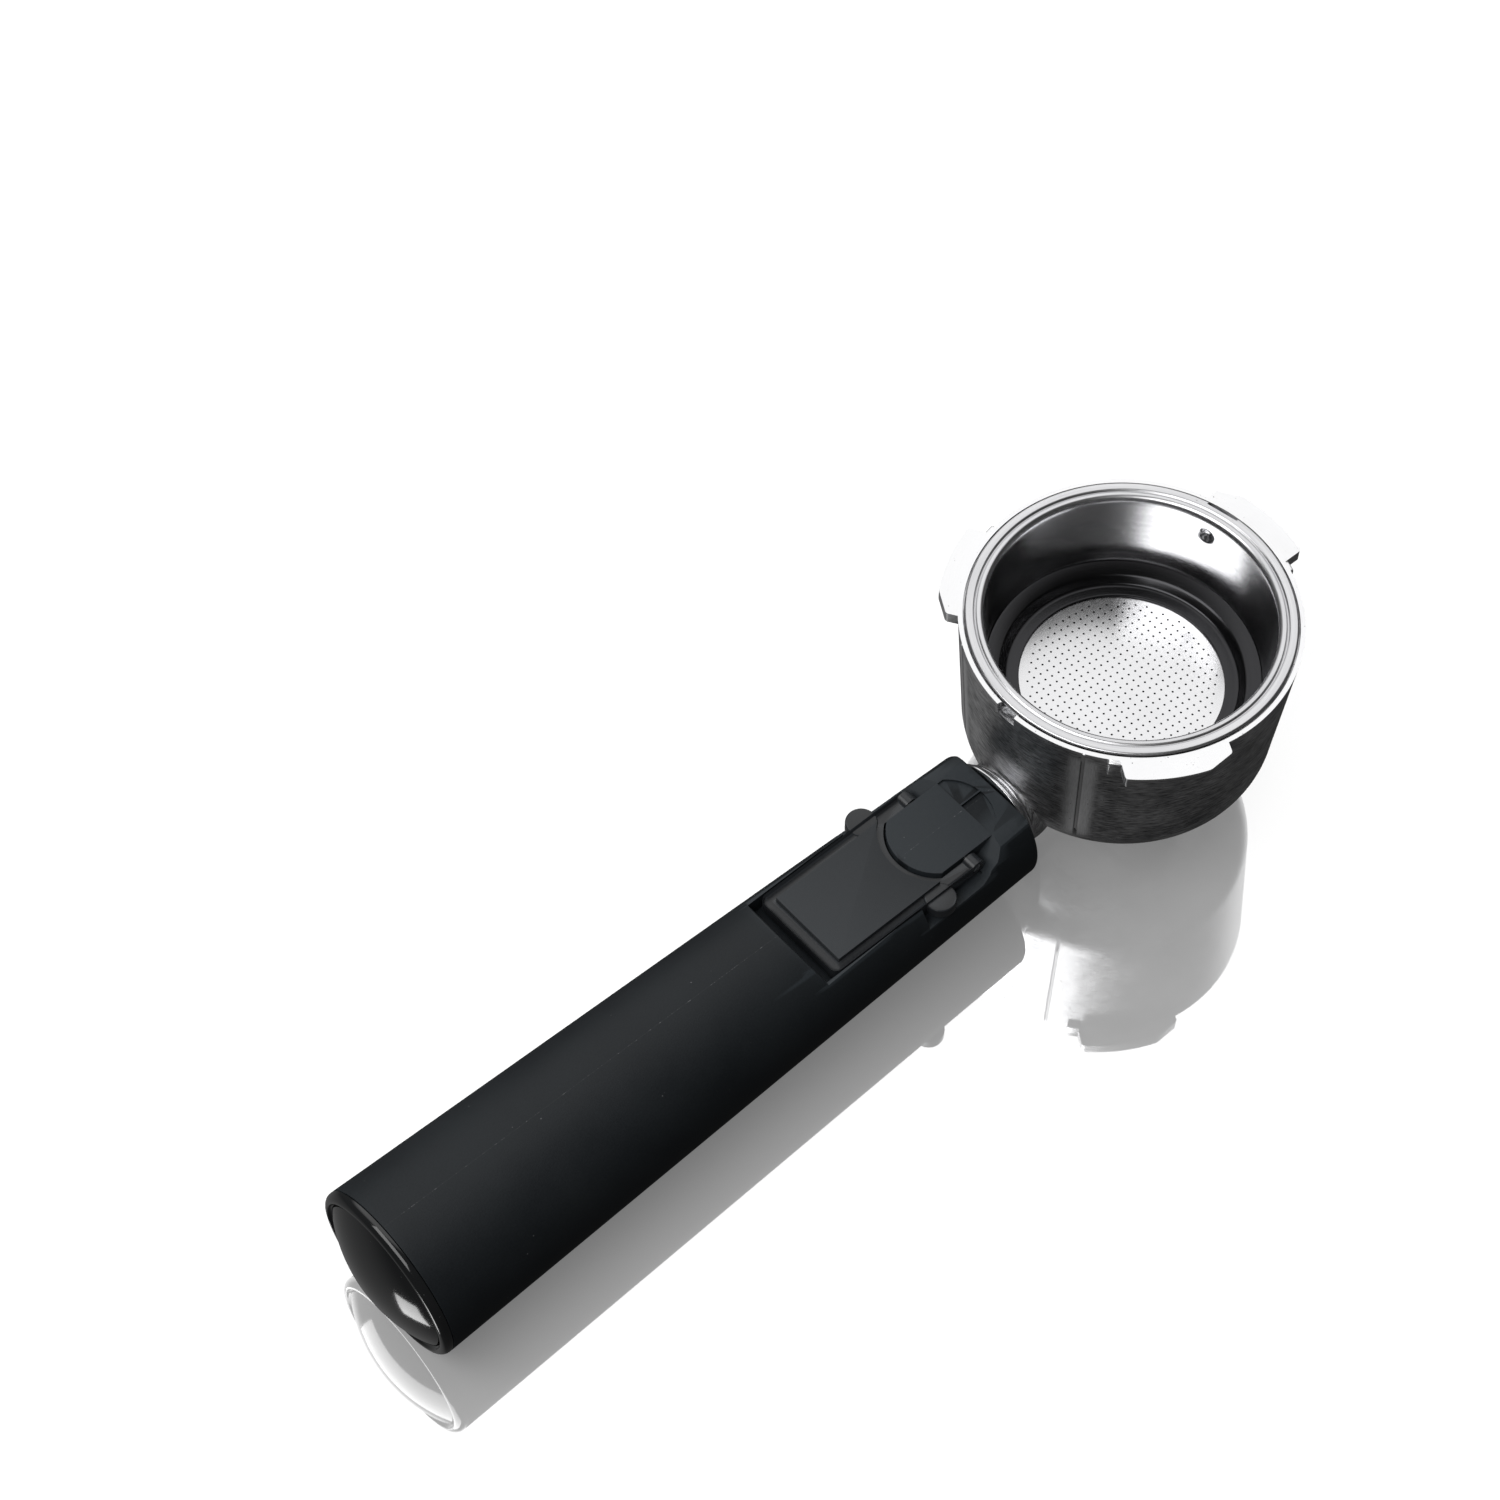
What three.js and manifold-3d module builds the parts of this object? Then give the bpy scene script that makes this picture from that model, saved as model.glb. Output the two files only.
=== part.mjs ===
// Portafilter with a lift-out basket and a flip-over basket clamp. Millimetres, +Z up.
// The cup's axis is Z, the handle points along +X, and z = 0 is the surface it stands on.

import * as THREE from 'three';
import { mergeVertices } from 'three/addons/utils/BufferGeometryUtils.js';
import Module from 'manifold-3d';

const wasm = await Module();
wasm.setup();

// ---------------------------------------------------------------- driving dimensions

const GAP = 0.3;                 // clearance between neighbouring pieces
const FINE_GAP = 0.15;           // clearance round an inlay
const ROUND = 72;                // sides of the large turned shapes
const SMALL_ROUND = 32;          // sides of the small turned shapes

// heights on the cup's axis
const FLANGE_TOP = 50;           // the basket's flange, the highest surface
const CASTING_TOP = 49.5;
const CUP_BOTTOM = 12;
const CUP_FLOOR = 15;            // inside the cup
const HANDLE_Z = 17;             // the handle's own axis

// cup
const CUP_R_TOP = 31.2;          // outside, at the flange's height
const CUP_DRAFT = 0.074;         // radius lost per millimetre of depth
const CUP_FILLET = 10;
const BORE_R_TOP = 27.9;         // inside
const BORE_R_LOW = 26.6;
const BORE_FILLET = 7.5;
const FLANGE_SEAT_Z = 48.1;
const FLANGE_SEAT_R = 30.3;
const LUG_R = 34.9;
const LUG_THICK = 2.5;
const LUG_ANGLES = [60, 180, 300];
const LUG_ROOT_R = 29.5;
const LUG_ROOT = [19.5, -19];    // the lug's two ends at its root, in degrees from its middle
const LUG_LEAD = -16.2;          // its square end, at the outside
const LUG_CHAMFER = [9, 17.5];   // where its chamfer starts and ends
const LUG_CHAMFER_DEEP = 1.6;
const NOTCH_R = 2.1;

// neck and handle, along X
const NECK_R = 8.5;
const NECK_START = 16;           // a cone inside the cup's wall, up to NECK_FULL
const NECK_FULL = 24;
const NECK_END = 29.5;
const SPIGOT_R = 6.4;
const SPIGOT_END = 36;
const GRIP_FRONT = 32.4;
const GRIP_END = 171.6;
const GRIP_R0 = 12;              // the grip's radius is GRIP_R0 + GRIP_FLARE * x
const GRIP_FLARE = 0.028;
const STUD_R = 3;
const STUD_START = 28.1;
const STUD_END = 160.5;
const NUT_BORE_R = 9;
const NUT_SEAT = 150;
const CAP_R = 14.5;
const DOME_END = 177;
const CAP_EDGE = 173.2;           // where the cap's side ends and its dome begins
const PLUG_START = 164;          // the end cap's plug, which reaches into the nut's bore

// the clamp lever's bed in the grip: heights above the handle's axis
const FLAT_H = 9;                // the flat on top of the grip
const BED_H = 4.8;               // the floor of the lever's bed
const BED_END = 82.3;
const BED_HALF = 10.5;
const BLOCK_FRONT = 39.4;
const BLOCK_HALF = 7.3;
const BLOCK_NOSE_X = 46.5;       // centre of the block's rounded end
const BLOCK_NOSE_R = 9;

// clamp lever
const PIVOT_X = 45.5;
const PIVOT_H = 7.2;
const PIN_R = 0.9;
const LEVER_LOW = 6.2;
const LEVER_END = 80;
const LEVER_HALF = 10.2;
const ARM_IN = 7.65;
const ARM_OUT = 10;
const ARM_EYE_R = 1.75;
const WING_X = 55;
const WING_R = 3;

// basket
const FLANGE_R = 30;
const SHEET = 0.6;
const FLOOR_Z = 29.25;           // top of the perforated floor
const FLOOR_R = 19;
const FLOOR_THICK = 0.5;
const DIMPLE_ANGLE = 193;
const DIMPLE_Z = 45.2;
const CUTOUT_ANGLE = 191;        // a shallow straight cut in the flange's edge
const CUTOUT_HALF = 3.2;
const CUTOUT_DEEP = 0.8;

// spout and outlet
const SPOUT_TOP = 10.2;
const SPOUT_SHOULDER_Z = 4;      // where its rounded shoulders start
const SPOUT_HALF = 17.5;         // along Y
const SPOUT_THICK = 15;          // along X
const NOZZLE_Y = 12;
const NOZZLE_R = 3.4;
const BOLT_R = 4;
const BOLT_BORE_R = 2.2;

// ---------------------------------------------------------------- solids

function toSolid(geometry) {
  const bare = new THREE.BufferGeometry();
  bare.setAttribute('position', geometry.getAttribute('position').clone());
  if (geometry.index) bare.setIndex(geometry.index.clone());
  const merged = mergeVertices(bare, 1e-4);
  const at = merged.getAttribute('position');
  const corner = [new THREE.Vector3(), new THREE.Vector3(), new THREE.Vector3()];
  const triangles = [];
  let volume = 0;
  for (let i = 0; i < merged.index.count; i += 3) {
    const ids = [0, 1, 2].map((k) => merged.index.getX(i + k));
    if (new Set(ids).size < 3) continue;
    ids.forEach((id, k) => corner[k].fromBufferAttribute(at, id));
    volume += corner[0].dot(corner[1].clone().cross(corner[2]));
    triangles.push(ids);
  }
  if (volume < 0) triangles.forEach((ids) => ids.reverse());
  return new wasm.Manifold(new wasm.Mesh({
    numProp: 3,
    vertProperties: new Float32Array(at.array),
    triVerts: new Uint32Array(triangles.flat()),
  }));
}

function toGeometry(solid) {
  const mesh = solid.getMesh();
  const geometry = new THREE.BufferGeometry();
  geometry.setAttribute('position', new THREE.BufferAttribute(mesh.vertProperties, 3));
  geometry.setIndex(new THREE.BufferAttribute(mesh.triVerts, 1));
  return geometry;
}

const points = (pairs) => pairs.map(([a, b]) => new THREE.Vector2(a, b));

// points of an arc, from one angle to another in degrees
function arc(cx, cy, r, from, to, steps) {
  return Array.from({ length: steps + 1 }, (_, i) => {
    const a = THREE.MathUtils.degToRad(from + ((to - from) * i) / steps);
    return [cx + r * Math.cos(a), cy + r * Math.sin(a)];
  });
}

function polar(r, degrees) {
  const a = THREE.MathUtils.degToRad(degrees);
  return [r * Math.cos(a), r * Math.sin(a)];
}

// a profile of [radius, z] pairs turned about the cup's axis
function turned(profile, sides = ROUND) {
  const geometry = new THREE.LatheGeometry(points(profile), sides);
  return toSolid(geometry.rotateX(Math.PI / 2));
}

// a profile of [radius, x] pairs turned about the handle's axis
function turnedOnHandle(profile, sides = ROUND) {
  const geometry = new THREE.LatheGeometry(points(profile), sides);
  return toSolid(geometry.rotateZ(-Math.PI / 2).translate(0, 0, HANDLE_Z));
}

const rod = (r, x0, x1, sides = SMALL_ROUND) =>
  turnedOnHandle([[0, x0], [r, x0], [r, x1], [0, x1]], sides);

const post = (r, z0, z1, sides = SMALL_ROUND) =>
  turned([[0, z0], [r, z0], [r, z1], [0, z1]], sides);

const washer = (inner, outer, z0, z1) =>
  turned([[inner, z0], [outer, z0], [outer, z1], [inner, z1], [inner, z0]], SMALL_ROUND);

// a plan outline of [x, y] pairs raised from one height to another
function raised(outline, z0, z1) {
  const shape = new THREE.Shape(points(outline));
  const geometry = new THREE.ExtrudeGeometry(shape, { depth: z1 - z0, bevelEnabled: false });
  return toSolid(geometry.translate(0, 0, z0));
}

const block = (x0, x1, y0, y1, z0, z1) => raised([[x0, y0], [x1, y0], [x1, y1], [x0, y1]], z0, z1);

const circle = (cx, cy, r, steps = 40) => arc(cx, cy, r, 0, 360, steps).slice(0, steps);

// a round bar along Y through the point [x, z]
function crossBar(r, x, z, halfLength) {
  const geometry = new THREE.CylinderGeometry(r, r, 2 * halfLength, SMALL_ROUND);
  return toSolid(geometry.translate(x, 0, z));
}

function sphereAt(r, radius, angle, z) {
  const a = THREE.MathUtils.degToRad(angle);
  const ball = new THREE.SphereGeometry(r, 20, 14);
  return toSolid(ball.translate(radius * Math.cos(a), radius * Math.sin(a), z));
}

const spun = (solid, angle) => solid.rotate([0, 0, angle]);

// ---------------------------------------------------------------- materials and nodes

const finish = {
  castMetal: { color: 0x9b9ca0, roughness: 0.35, metalness: 1 },
  chrome: { color: 0xd9dadc, roughness: 0.12, metalness: 1 },
  steel: { color: 0xb8b9bd, roughness: 0.3, metalness: 1 },
  softBlack: { color: 0x26292b, roughness: 0.6, metalness: 0 },
  glossBlack: { color: 0x17191b, roughness: 0.15, metalness: 0 },
  leverBlack: { color: 0x343739, roughness: 0.5, metalness: 0 },
  plasticBlack: { color: 0x1f2123, roughness: 0.4, metalness: 0 },
  rubber: { color: 0x2b2b2b, roughness: 0.8, metalness: 0 },
};

const portafilter = new THREE.Group();

function addNode(name, solid, look) {
  const mesh = new THREE.Mesh(toGeometry(solid), new THREE.MeshStandardMaterial(finish[look]));
  mesh.name = name;
  portafilter.add(mesh);
}

// ---------------------------------------------------------------- cup casting

const cupRadius = (z) => CUP_R_TOP - CUP_DRAFT * (FLANGE_TOP - z);
const gripRadius = (x) => GRIP_R0 + GRIP_FLARE * x;

// one bayonet lug: square at the leading end, chamfered at the trailing end
function lug(angle) {
  const outline = [
    ...arc(0, 0, LUG_ROOT_R, ...LUG_ROOT, 8),
    ...arc(0, 0, LUG_R, LUG_LEAD, LUG_CHAMFER[0], 8),
    polar(LUG_R - LUG_CHAMFER_DEEP, LUG_CHAMFER[1]),
  ];
  return spun(raised(outline, CASTING_TOP - LUG_THICK, CASTING_TOP), angle);
}

function cupCasting() {
  const filletZ = CUP_BOTTOM + CUP_FILLET;
  const filletR = cupRadius(filletZ) - CUP_FILLET;
  const boreFilletR = BORE_R_LOW - BORE_FILLET;
  const outside = turned([
    [0, CUP_BOTTOM],
    ...arc(filletR, filletZ, CUP_FILLET, -90, 0, 8),
    [cupRadius(CASTING_TOP), CASTING_TOP],
    [0, CASTING_TOP],
  ]);
  const cavity = turned([
    [0, CUP_FLOOR],
    ...arc(boreFilletR, CUP_FLOOR + BORE_FILLET, BORE_FILLET, -90, 0, 6),
    [BORE_R_TOP, FLANGE_SEAT_Z],
    [FLANGE_SEAT_R, FLANGE_SEAT_Z],
    [FLANGE_SEAT_R, FLANGE_TOP + 1],
    [0, FLANGE_TOP + 1],
  ]);
  const neck = turnedOnHandle([
    [0, NECK_START], [4, NECK_START], [NECK_R, NECK_FULL], [NECK_R, NECK_END],
    [SPIGOT_R, NECK_END], [SPIGOT_R, SPIGOT_END], [0, SPIGOT_END],
  ], 48);
  const studHole = rod(STUD_R + GAP, STUD_START - GAP, SPIGOT_END + 1);
  const notch = raised(circle(CUP_R_TOP, 0, NOTCH_R, 16), FLANGE_SEAT_Z - 1.1, FLANGE_TOP);
  const dimpleSlot = spun(block(25, 29, -3.3, 3.3, DIMPLE_Z - 3.4, FLANGE_TOP), DIMPLE_ANGLE);
  let solid = outside.add(neck);
  LUG_ANGLES.forEach((angle) => { solid = solid.add(lug(angle)); });
  return solid
    .subtract(cavity)
    .subtract(post(BOLT_R + GAP, CUP_BOTTOM - 1, CUP_FLOOR + 1))
    .subtract(studHole)
    .subtract(notch)
    .subtract(dimpleSlot);
}

addNode('cup_casting', cupCasting(), 'castMetal');

// ---------------------------------------------------------------- basket

// the drawn sheet's inner face, from the flange down to the floor's edge
const basketInner = [
  [26.4, 48.9], [25.5, 32.8], [25.2, 32.3], [22.6, 31.3], [21.6, 30.1], [20.9, 29.8], [19.3, 29.6],
];

function basketShell() {
  const outer = basketInner.map(([r, z], i) => (i < 2 ? [r + SHEET, z] : [r + 0.35, z - SHEET]));
  const flange = [
    [26.6, 49.6], [27.1, FLANGE_TOP - 0.05], [27.8, FLANGE_TOP - 0.05], [28.1, FLANGE_TOP - 0.4],
    [28.4, FLANGE_TOP], [29.7, FLANGE_TOP], [FLANGE_R, FLANGE_TOP - 0.3],
    [FLANGE_R, FLANGE_TOP - 1.2], [FLANGE_R - 0.3, FLANGE_TOP - 1.5], [27.3, FLANGE_TOP - 1.5],
  ];
  const lip = [[FLOOR_R + GAP, 28.5], [FLOOR_R - 1.2, 28.5], [FLOOR_R - 1.2, 28.1]];
  const shell = turned([
    ...basketInner.slice().reverse(),
    ...flange,
    ...outer,
    [FLOOR_R + 0.9, 28.1],
    ...lip.slice().reverse(),
    [FLOOR_R + GAP, 29.6],
  ]);
  const inside = turned([[0, 20], [25.5, 32.8], [26.5, 50.5], [0, 50.5]]);
  const bump = sphereAt(2.4, 26.2, DIMPLE_ANGLE, DIMPLE_Z).subtract(inside);
  const cutX = FLANGE_R - CUTOUT_DEEP;
  const cutout = block(cutX, FLANGE_R + 1, -CUTOUT_HALF, CUTOUT_HALF, FLANGE_TOP - 2, FLANGE_TOP + 1);
  return shell
    .add(bump)
    .subtract(sphereAt(1.8, 26.2, DIMPLE_ANGLE, DIMPLE_Z))
    .subtract(spun(cutout, CUTOUT_ANGLE));
}

addNode('basket_shell', basketShell(), 'steel');
addNode('basket_floor', post(FLOOR_R, FLOOR_Z - FLOOR_THICK, FLOOR_Z, ROUND), 'steel');

// ---------------------------------------------------------------- pressurising insert and valve

const INSERT_LOW = 18.9;
const INSERT_DECK = 23.5;
const INSERT_TOP = 28;
const DECK_THICK = 1.5;
const VALVE_PORT_R = 2.4;
const VALVE_TRAVEL = 1.5;
const VALVE_TOP = INSERT_DECK - GAP;
const BOLT_HEAD_LOW = 16.1;
const BOLT_HEAD_TOP = 17.4;
const SPRING_LOW = BOLT_HEAD_TOP + 0.2;
const SPRING_TOP = VALVE_TOP - 1.8;
const SPRING_R = 3.2;
const SPRING_WIRE = 0.35;
const SPRING_TURNS = 3;

const insertProfile = [
  [VALVE_PORT_R, INSERT_DECK], [20.5, INSERT_DECK], [20.5, INSERT_LOW], [23, INSERT_LOW],
  [23, INSERT_DECK], [25.8, INSERT_DECK], [25.8, INSERT_TOP], [24.4, INSERT_TOP],
  [24.4, INSERT_DECK + DECK_THICK], [VALVE_PORT_R, INSERT_DECK + DECK_THICK],
  [VALVE_PORT_R, INSERT_DECK],
];

function valvePlunger() {
  return turned([
    [0, BOLT_HEAD_TOP + VALVE_TRAVEL + GAP], [1.3, BOLT_HEAD_TOP + VALVE_TRAVEL + GAP],
    [1.3, SPRING_TOP + GAP], [4.2, SPRING_TOP + GAP], [4.2, VALVE_TOP], [0, VALVE_TOP],
  ], SMALL_ROUND);
}

class Coil extends THREE.Curve {
  getPoint(t, target = new THREE.Vector3()) {
    const a = t * SPRING_TURNS * 2 * Math.PI;
    const low = SPRING_LOW + SPRING_WIRE;
    const high = SPRING_TOP - SPRING_WIRE;
    return target.set(SPRING_R * Math.cos(a), SPRING_R * Math.sin(a), low + (high - low) * t);
  }
}

function valveSpring() {
  const wire = new THREE.Shape(points(circle(0, 0, SPRING_WIRE, 8)));
  const path = { steps: SPRING_TURNS * 20, extrudePath: new Coil() };
  return toSolid(new THREE.ExtrudeGeometry(wire, path));
}

addNode('frother_insert', turned(insertProfile), 'plasticBlack');
addNode('frother_gasket', washer(20.4, 23.1, 17.2, INSERT_LOW - GAP), 'rubber');
addNode('valve_plunger', valvePlunger(), 'steel');
addNode('valve_spring', valveSpring(), 'steel');

// ---------------------------------------------------------------- outlet and double spout

function outletBolt() {
  const head = raised(circle(0, 0, 6.2, 6), BOLT_HEAD_LOW, BOLT_HEAD_TOP);
  return head
    .add(post(BOLT_R, 5.8, BOLT_HEAD_LOW + 0.5))
    .subtract(post(BOLT_BORE_R, 5, BOLT_HEAD_TOP + 1));
}

function spoutBody() {
  const shoulder = SPOUT_TOP - SPOUT_SHOULDER_Z;
  const shoulderY = SPOUT_HALF - shoulder;
  const face = new THREE.Shape(points([
    [-SPOUT_HALF, 0],
    [SPOUT_HALF, 0],
    ...arc(shoulderY, SPOUT_SHOULDER_Z, shoulder, 0, 90, 8),
    ...arc(-shoulderY, SPOUT_SHOULDER_Z, shoulder, 90, 180, 8),
  ]));
  const flat = { depth: SPOUT_THICK, bevelEnabled: false };
  const bar = new THREE.ExtrudeGeometry(face, flat)
    .translate(0, 0, -SPOUT_THICK / 2).rotateX(Math.PI / 2).rotateZ(Math.PI / 2);
  const half = SPOUT_THICK / 2;
  const plan = raised([
    ...arc(0, SPOUT_HALF - half, half, 0, 180, 12),
    ...arc(0, half - SPOUT_HALF, half, 180, 360, 12),
  ], -1, SPOUT_TOP + 1);
  const channel = crossBar(2, 0, 4.6, NOZZLE_Y);
  let solid = toSolid(bar).intersect(plan).subtract(channel);
  [-NOZZLE_Y, NOZZLE_Y].forEach((y) => {
    solid = solid.subtract(raised(circle(0, y, NOZZLE_R, 24), -1, 6.4));
  });
  return solid.subtract(post(BOLT_R + GAP, 5.2, SPOUT_TOP + 1));
}

addNode('outlet_bolt', outletBolt(), 'steel');
addNode('outlet_seal', washer(4.6, 6.6, CUP_FLOOR + 0.2, BOLT_HEAD_LOW - 0.2), 'rubber');
addNode('outlet_gasket', washer(4.6, 8.5, SPOUT_TOP + GAP, CUP_BOTTOM - GAP), 'rubber');
addNode('spout_body', spoutBody(), 'plasticBlack');

// ---------------------------------------------------------------- handle

function neckFerrule() {
  const inner = SPIGOT_R + 0.4;
  return turnedOnHandle([
    [inner, NECK_END + GAP], [9, NECK_END + GAP], [9.4, NECK_END + 0.6], [9.4, NECK_END + 1.2],
    [10.5, NECK_END + 1.4], [10.5, GRIP_FRONT - GAP], [inner, GRIP_FRONT - GAP],
    [inner, NECK_END + GAP],
  ], 48);
}

// the solid block between the lever's arms, rounded at its far end
function bedBlockOutline() {
  const half = THREE.MathUtils.radToDeg(Math.asin(BLOCK_HALF / BLOCK_NOSE_R));
  return [[BLOCK_FRONT - 12, -BLOCK_HALF], ...arc(BLOCK_NOSE_X, 0, BLOCK_NOSE_R, -half, half, 12),
    [BLOCK_FRONT - 12, BLOCK_HALF]];
}

// everything that the lever's bed takes away: the channel, and a finger pocket at each side
function leverBed() {
  const top = HANDLE_Z + FLAT_H + 8;
  const side = [[BLOCK_FRONT, BLOCK_HALF - 1], [BLOCK_FRONT, BLOCK_HALF], [46.2, 14.5],
    [46.2, 17], [59.5, 17], [59.5, BED_HALF], [BED_END, BED_HALF]];
  const mirrored = side.map(([x, y]) => [x, -y]).reverse();
  const plan = raised([...mirrored, ...side], HANDLE_Z + BED_H, top);
  return plan.subtract(raised(bedBlockOutline(), HANDLE_Z, top + 1));
}

function handleGrip() {
  const outside = turnedOnHandle([
    [0, GRIP_FRONT], [12.2, GRIP_FRONT], [gripRadius(33), 33],
    [gripRadius(GRIP_END), GRIP_END], [0, GRIP_END],
  ]);
  const flat = block(20, BED_END, -20, 20, HANDLE_Z + FLAT_H, HANDLE_Z + 20);
  const dishR = 11;
  const dishHalf = 50;
  const dish = raised(
    arc(BLOCK_NOSE_X, 0, dishR, 180 - dishHalf, 180 + dishHalf, 12),
    HANDLE_Z + FLAT_H - 1.2,
    HANDLE_Z + FLAT_H + 1,
  );
  return outside
    .subtract(rod(STUD_R + GAP, GRIP_FRONT - 1, NUT_SEAT + 1))
    .subtract(rod(SPIGOT_R + GAP, GRIP_FRONT - 1, SPIGOT_END + GAP))
    .subtract(rod(NUT_BORE_R, NUT_SEAT, GRIP_END + 1, 48))
    .subtract(flat)
    .subtract(leverBed())
    .subtract(dish)
    .subtract(crossBar(PIN_R + FINE_GAP, PIVOT_X, HANDLE_Z + PIVOT_H, BLOCK_HALF + 1));
}

function ringOnStud(inner, outer, x0, x1) {
  const profile = [[inner, x0], [outer, x0], [outer, x1], [inner, x1], [inner, x0]];
  return turnedOnHandle(profile, SMALL_ROUND);
}

function gripNut() {
  const hex = new THREE.CylinderGeometry(5.77, 5.77, 5, 6);
  const body = toSolid(hex.rotateZ(-Math.PI / 2).translate(NUT_SEAT + 6.1, 0, HANDLE_Z));
  return body.subtract(rod(STUD_R + FINE_GAP, NUT_SEAT, NUT_SEAT + 12));
}

function endRing() {
  const x0 = GRIP_END + GAP;
  const outer = gripRadius(GRIP_END);
  const inner = CAP_R + GAP;
  const round = 1.4;
  const edge = arc(outer - round, x0 + 0.2, round, 0, 90, 5);
  return turnedOnHandle([
    [inner, x0], [outer, x0], ...edge, [inner, x0 + 0.2 + round], [inner, x0],
  ]);
}

function endCap() {
  const x0 = GRIP_END + GAP;
  const plugR = NUT_BORE_R - 0.4;
  const high = DOME_END - CAP_EDGE;
  const ball = (CAP_R ** 2 + high ** 2) / (2 * high);
  const dome = [0, 1, 2, 3, 4, 5].map((i) => {
    const r = CAP_R * (1 - i / 6);
    return [r, DOME_END - ball + Math.sqrt(ball ** 2 - r ** 2)];
  });
  return turnedOnHandle([
    [0, PLUG_START], [plugR, PLUG_START], [plugR, x0], [CAP_R, x0], ...dome, [0, DOME_END],
  ]);
}

addNode('neck_ferrule', neckFerrule(), 'chrome');
addNode('handle_grip', handleGrip(), 'softBlack');
addNode('handle_stud', rod(STUD_R, STUD_START, STUD_END), 'steel');
addNode('grip_washer', ringOnStud(3.3, 8.5, NUT_SEAT + 0.2, NUT_SEAT + 1.6), 'steel');
addNode('grip_lock_washer', ringOnStud(3.3, 5.8, NUT_SEAT + 1.8, NUT_SEAT + 3.3), 'steel');
addNode('grip_nut', gripNut(), 'steel');
addNode('end_ring', endRing(), 'glossBlack');
addNode('end_cap', endCap(), 'glossBlack');

// ---------------------------------------------------------------- clamp lever

const leverTop = HANDLE_Z + FLAT_H;
const PAD_HALF = 8.4;
const PAD_END = 77.5;
const PAD_DEEP = 0.9;

// the pad's plan outline, drawn in by a margin from its own recess
function padOutline(margin) {
  const r = 10.6 + margin;
  const half = THREE.MathUtils.radToDeg(Math.asin((PAD_HALF - margin) / r));
  return [...arc(BLOCK_NOSE_X, 0, r, half, -half, 12), [PAD_END - margin, margin - PAD_HALF],
    [PAD_END - margin, PAD_HALF - margin]];
}

// a wedge that bevels the lever's top edge; the edge lies on x = 0, and +X is outside
function bevel(length) {
  const wedge = new THREE.Shape(points([[-1.7, 0.2], [3, 0.2], [3, -2.6]]));
  const geometry = new THREE.ExtrudeGeometry(wedge, { depth: length, bevelEnabled: false });
  return toSolid(geometry.translate(0, 0, -length / 2).rotateX(Math.PI / 2));
}

function leverFrame() {
  const low = HANDLE_Z + LEVER_LOW;
  const corner = 1.6;
  const plate = raised([
    [PIVOT_X, -LEVER_HALF],
    ...arc(LEVER_END - corner, corner - LEVER_HALF, corner, -90, 0, 4),
    ...arc(LEVER_END - corner, LEVER_HALF - corner, corner, 0, 90, 4),
    [PIVOT_X, LEVER_HALF],
  ], low, leverTop);
  const opening = raised(circle(BLOCK_NOSE_X, 0, BLOCK_NOSE_R + 0.4), low - 1, leverTop + 1)
    .intersect(block(30, 60, -ARM_IN, ARM_IN, low - 1, leverTop + 1));
  const front = block(PIVOT_X - 1, BLOCK_NOSE_X, -ARM_IN, ARM_IN, low - 1, leverTop + 1);
  const trims = [
    bevel(60).translate([LEVER_END, 0, leverTop]),
    spun(bevel(60), 90).translate([70, LEVER_HALF, leverTop]),
    spun(bevel(60), -90).translate([70, -LEVER_HALF, leverTop]),
  ];
  let solid = plate.subtract(opening).subtract(front);
  trims.forEach((trim) => { solid = solid.subtract(trim); });
  [-1, 1].forEach((side) => {
    const wing = raised(circle(WING_X, side * 10.5, WING_R, 24), low, leverTop - 0.6);
    const keep = block(40, 60, side > 0 ? 7.9 : -20, side > 0 ? 20 : -7.9, low - 1, leverTop);
    const eye = crossBar(ARM_EYE_R, PIVOT_X, HANDLE_Z + PIVOT_H, (ARM_OUT - ARM_IN) / 2)
      .translate([0, (side * (ARM_OUT + ARM_IN)) / 2, 0]);
    solid = solid.add(wing.intersect(keep)).add(eye);
  });
  return solid
    .subtract(raised(padOutline(0), leverTop - PAD_DEEP - FINE_GAP, leverTop + 1))
    .subtract(crossBar(PIN_R + 0.2, PIVOT_X, HANDLE_Z + PIVOT_H, 14));
}

addNode('lever_pin', crossBar(PIN_R, PIVOT_X, HANDLE_Z + PIVOT_H, ARM_OUT - 0.1), 'steel');
addNode('lever_frame', leverFrame(), 'leverBlack');
addNode('lever_pad', raised(padOutline(FINE_GAP), leverTop - PAD_DEEP, leverTop), 'leverBlack');

export default portafilter;
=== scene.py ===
import math

import bmesh
import bpy
from mathutils import Matrix, Vector


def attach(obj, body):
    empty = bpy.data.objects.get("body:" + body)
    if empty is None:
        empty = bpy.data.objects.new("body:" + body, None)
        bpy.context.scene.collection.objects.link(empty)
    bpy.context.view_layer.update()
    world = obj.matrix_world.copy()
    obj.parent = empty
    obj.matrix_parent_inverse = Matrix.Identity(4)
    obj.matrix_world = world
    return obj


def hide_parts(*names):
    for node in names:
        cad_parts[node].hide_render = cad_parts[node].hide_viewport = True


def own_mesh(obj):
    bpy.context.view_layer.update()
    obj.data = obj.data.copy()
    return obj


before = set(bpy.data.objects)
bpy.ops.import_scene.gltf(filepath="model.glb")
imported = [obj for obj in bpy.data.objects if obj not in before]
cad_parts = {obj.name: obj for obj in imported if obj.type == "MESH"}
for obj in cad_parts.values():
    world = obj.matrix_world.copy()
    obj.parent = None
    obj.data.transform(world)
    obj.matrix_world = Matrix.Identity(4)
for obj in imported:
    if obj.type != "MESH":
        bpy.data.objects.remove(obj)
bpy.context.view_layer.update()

# ---------------------------------------------------------------- cup casting
# The cup is one light-alloy die casting with its bayonet lugs and neck. It is turned and brushed
# round outside, its parting line is ground off in two bands, and its rim and lug tops are faced.
# The tops are painted near white, partly their faced finish and partly a painted highlight, and
# the ground bands are painted lighter, partly their finish and partly a painted sheen.

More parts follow.
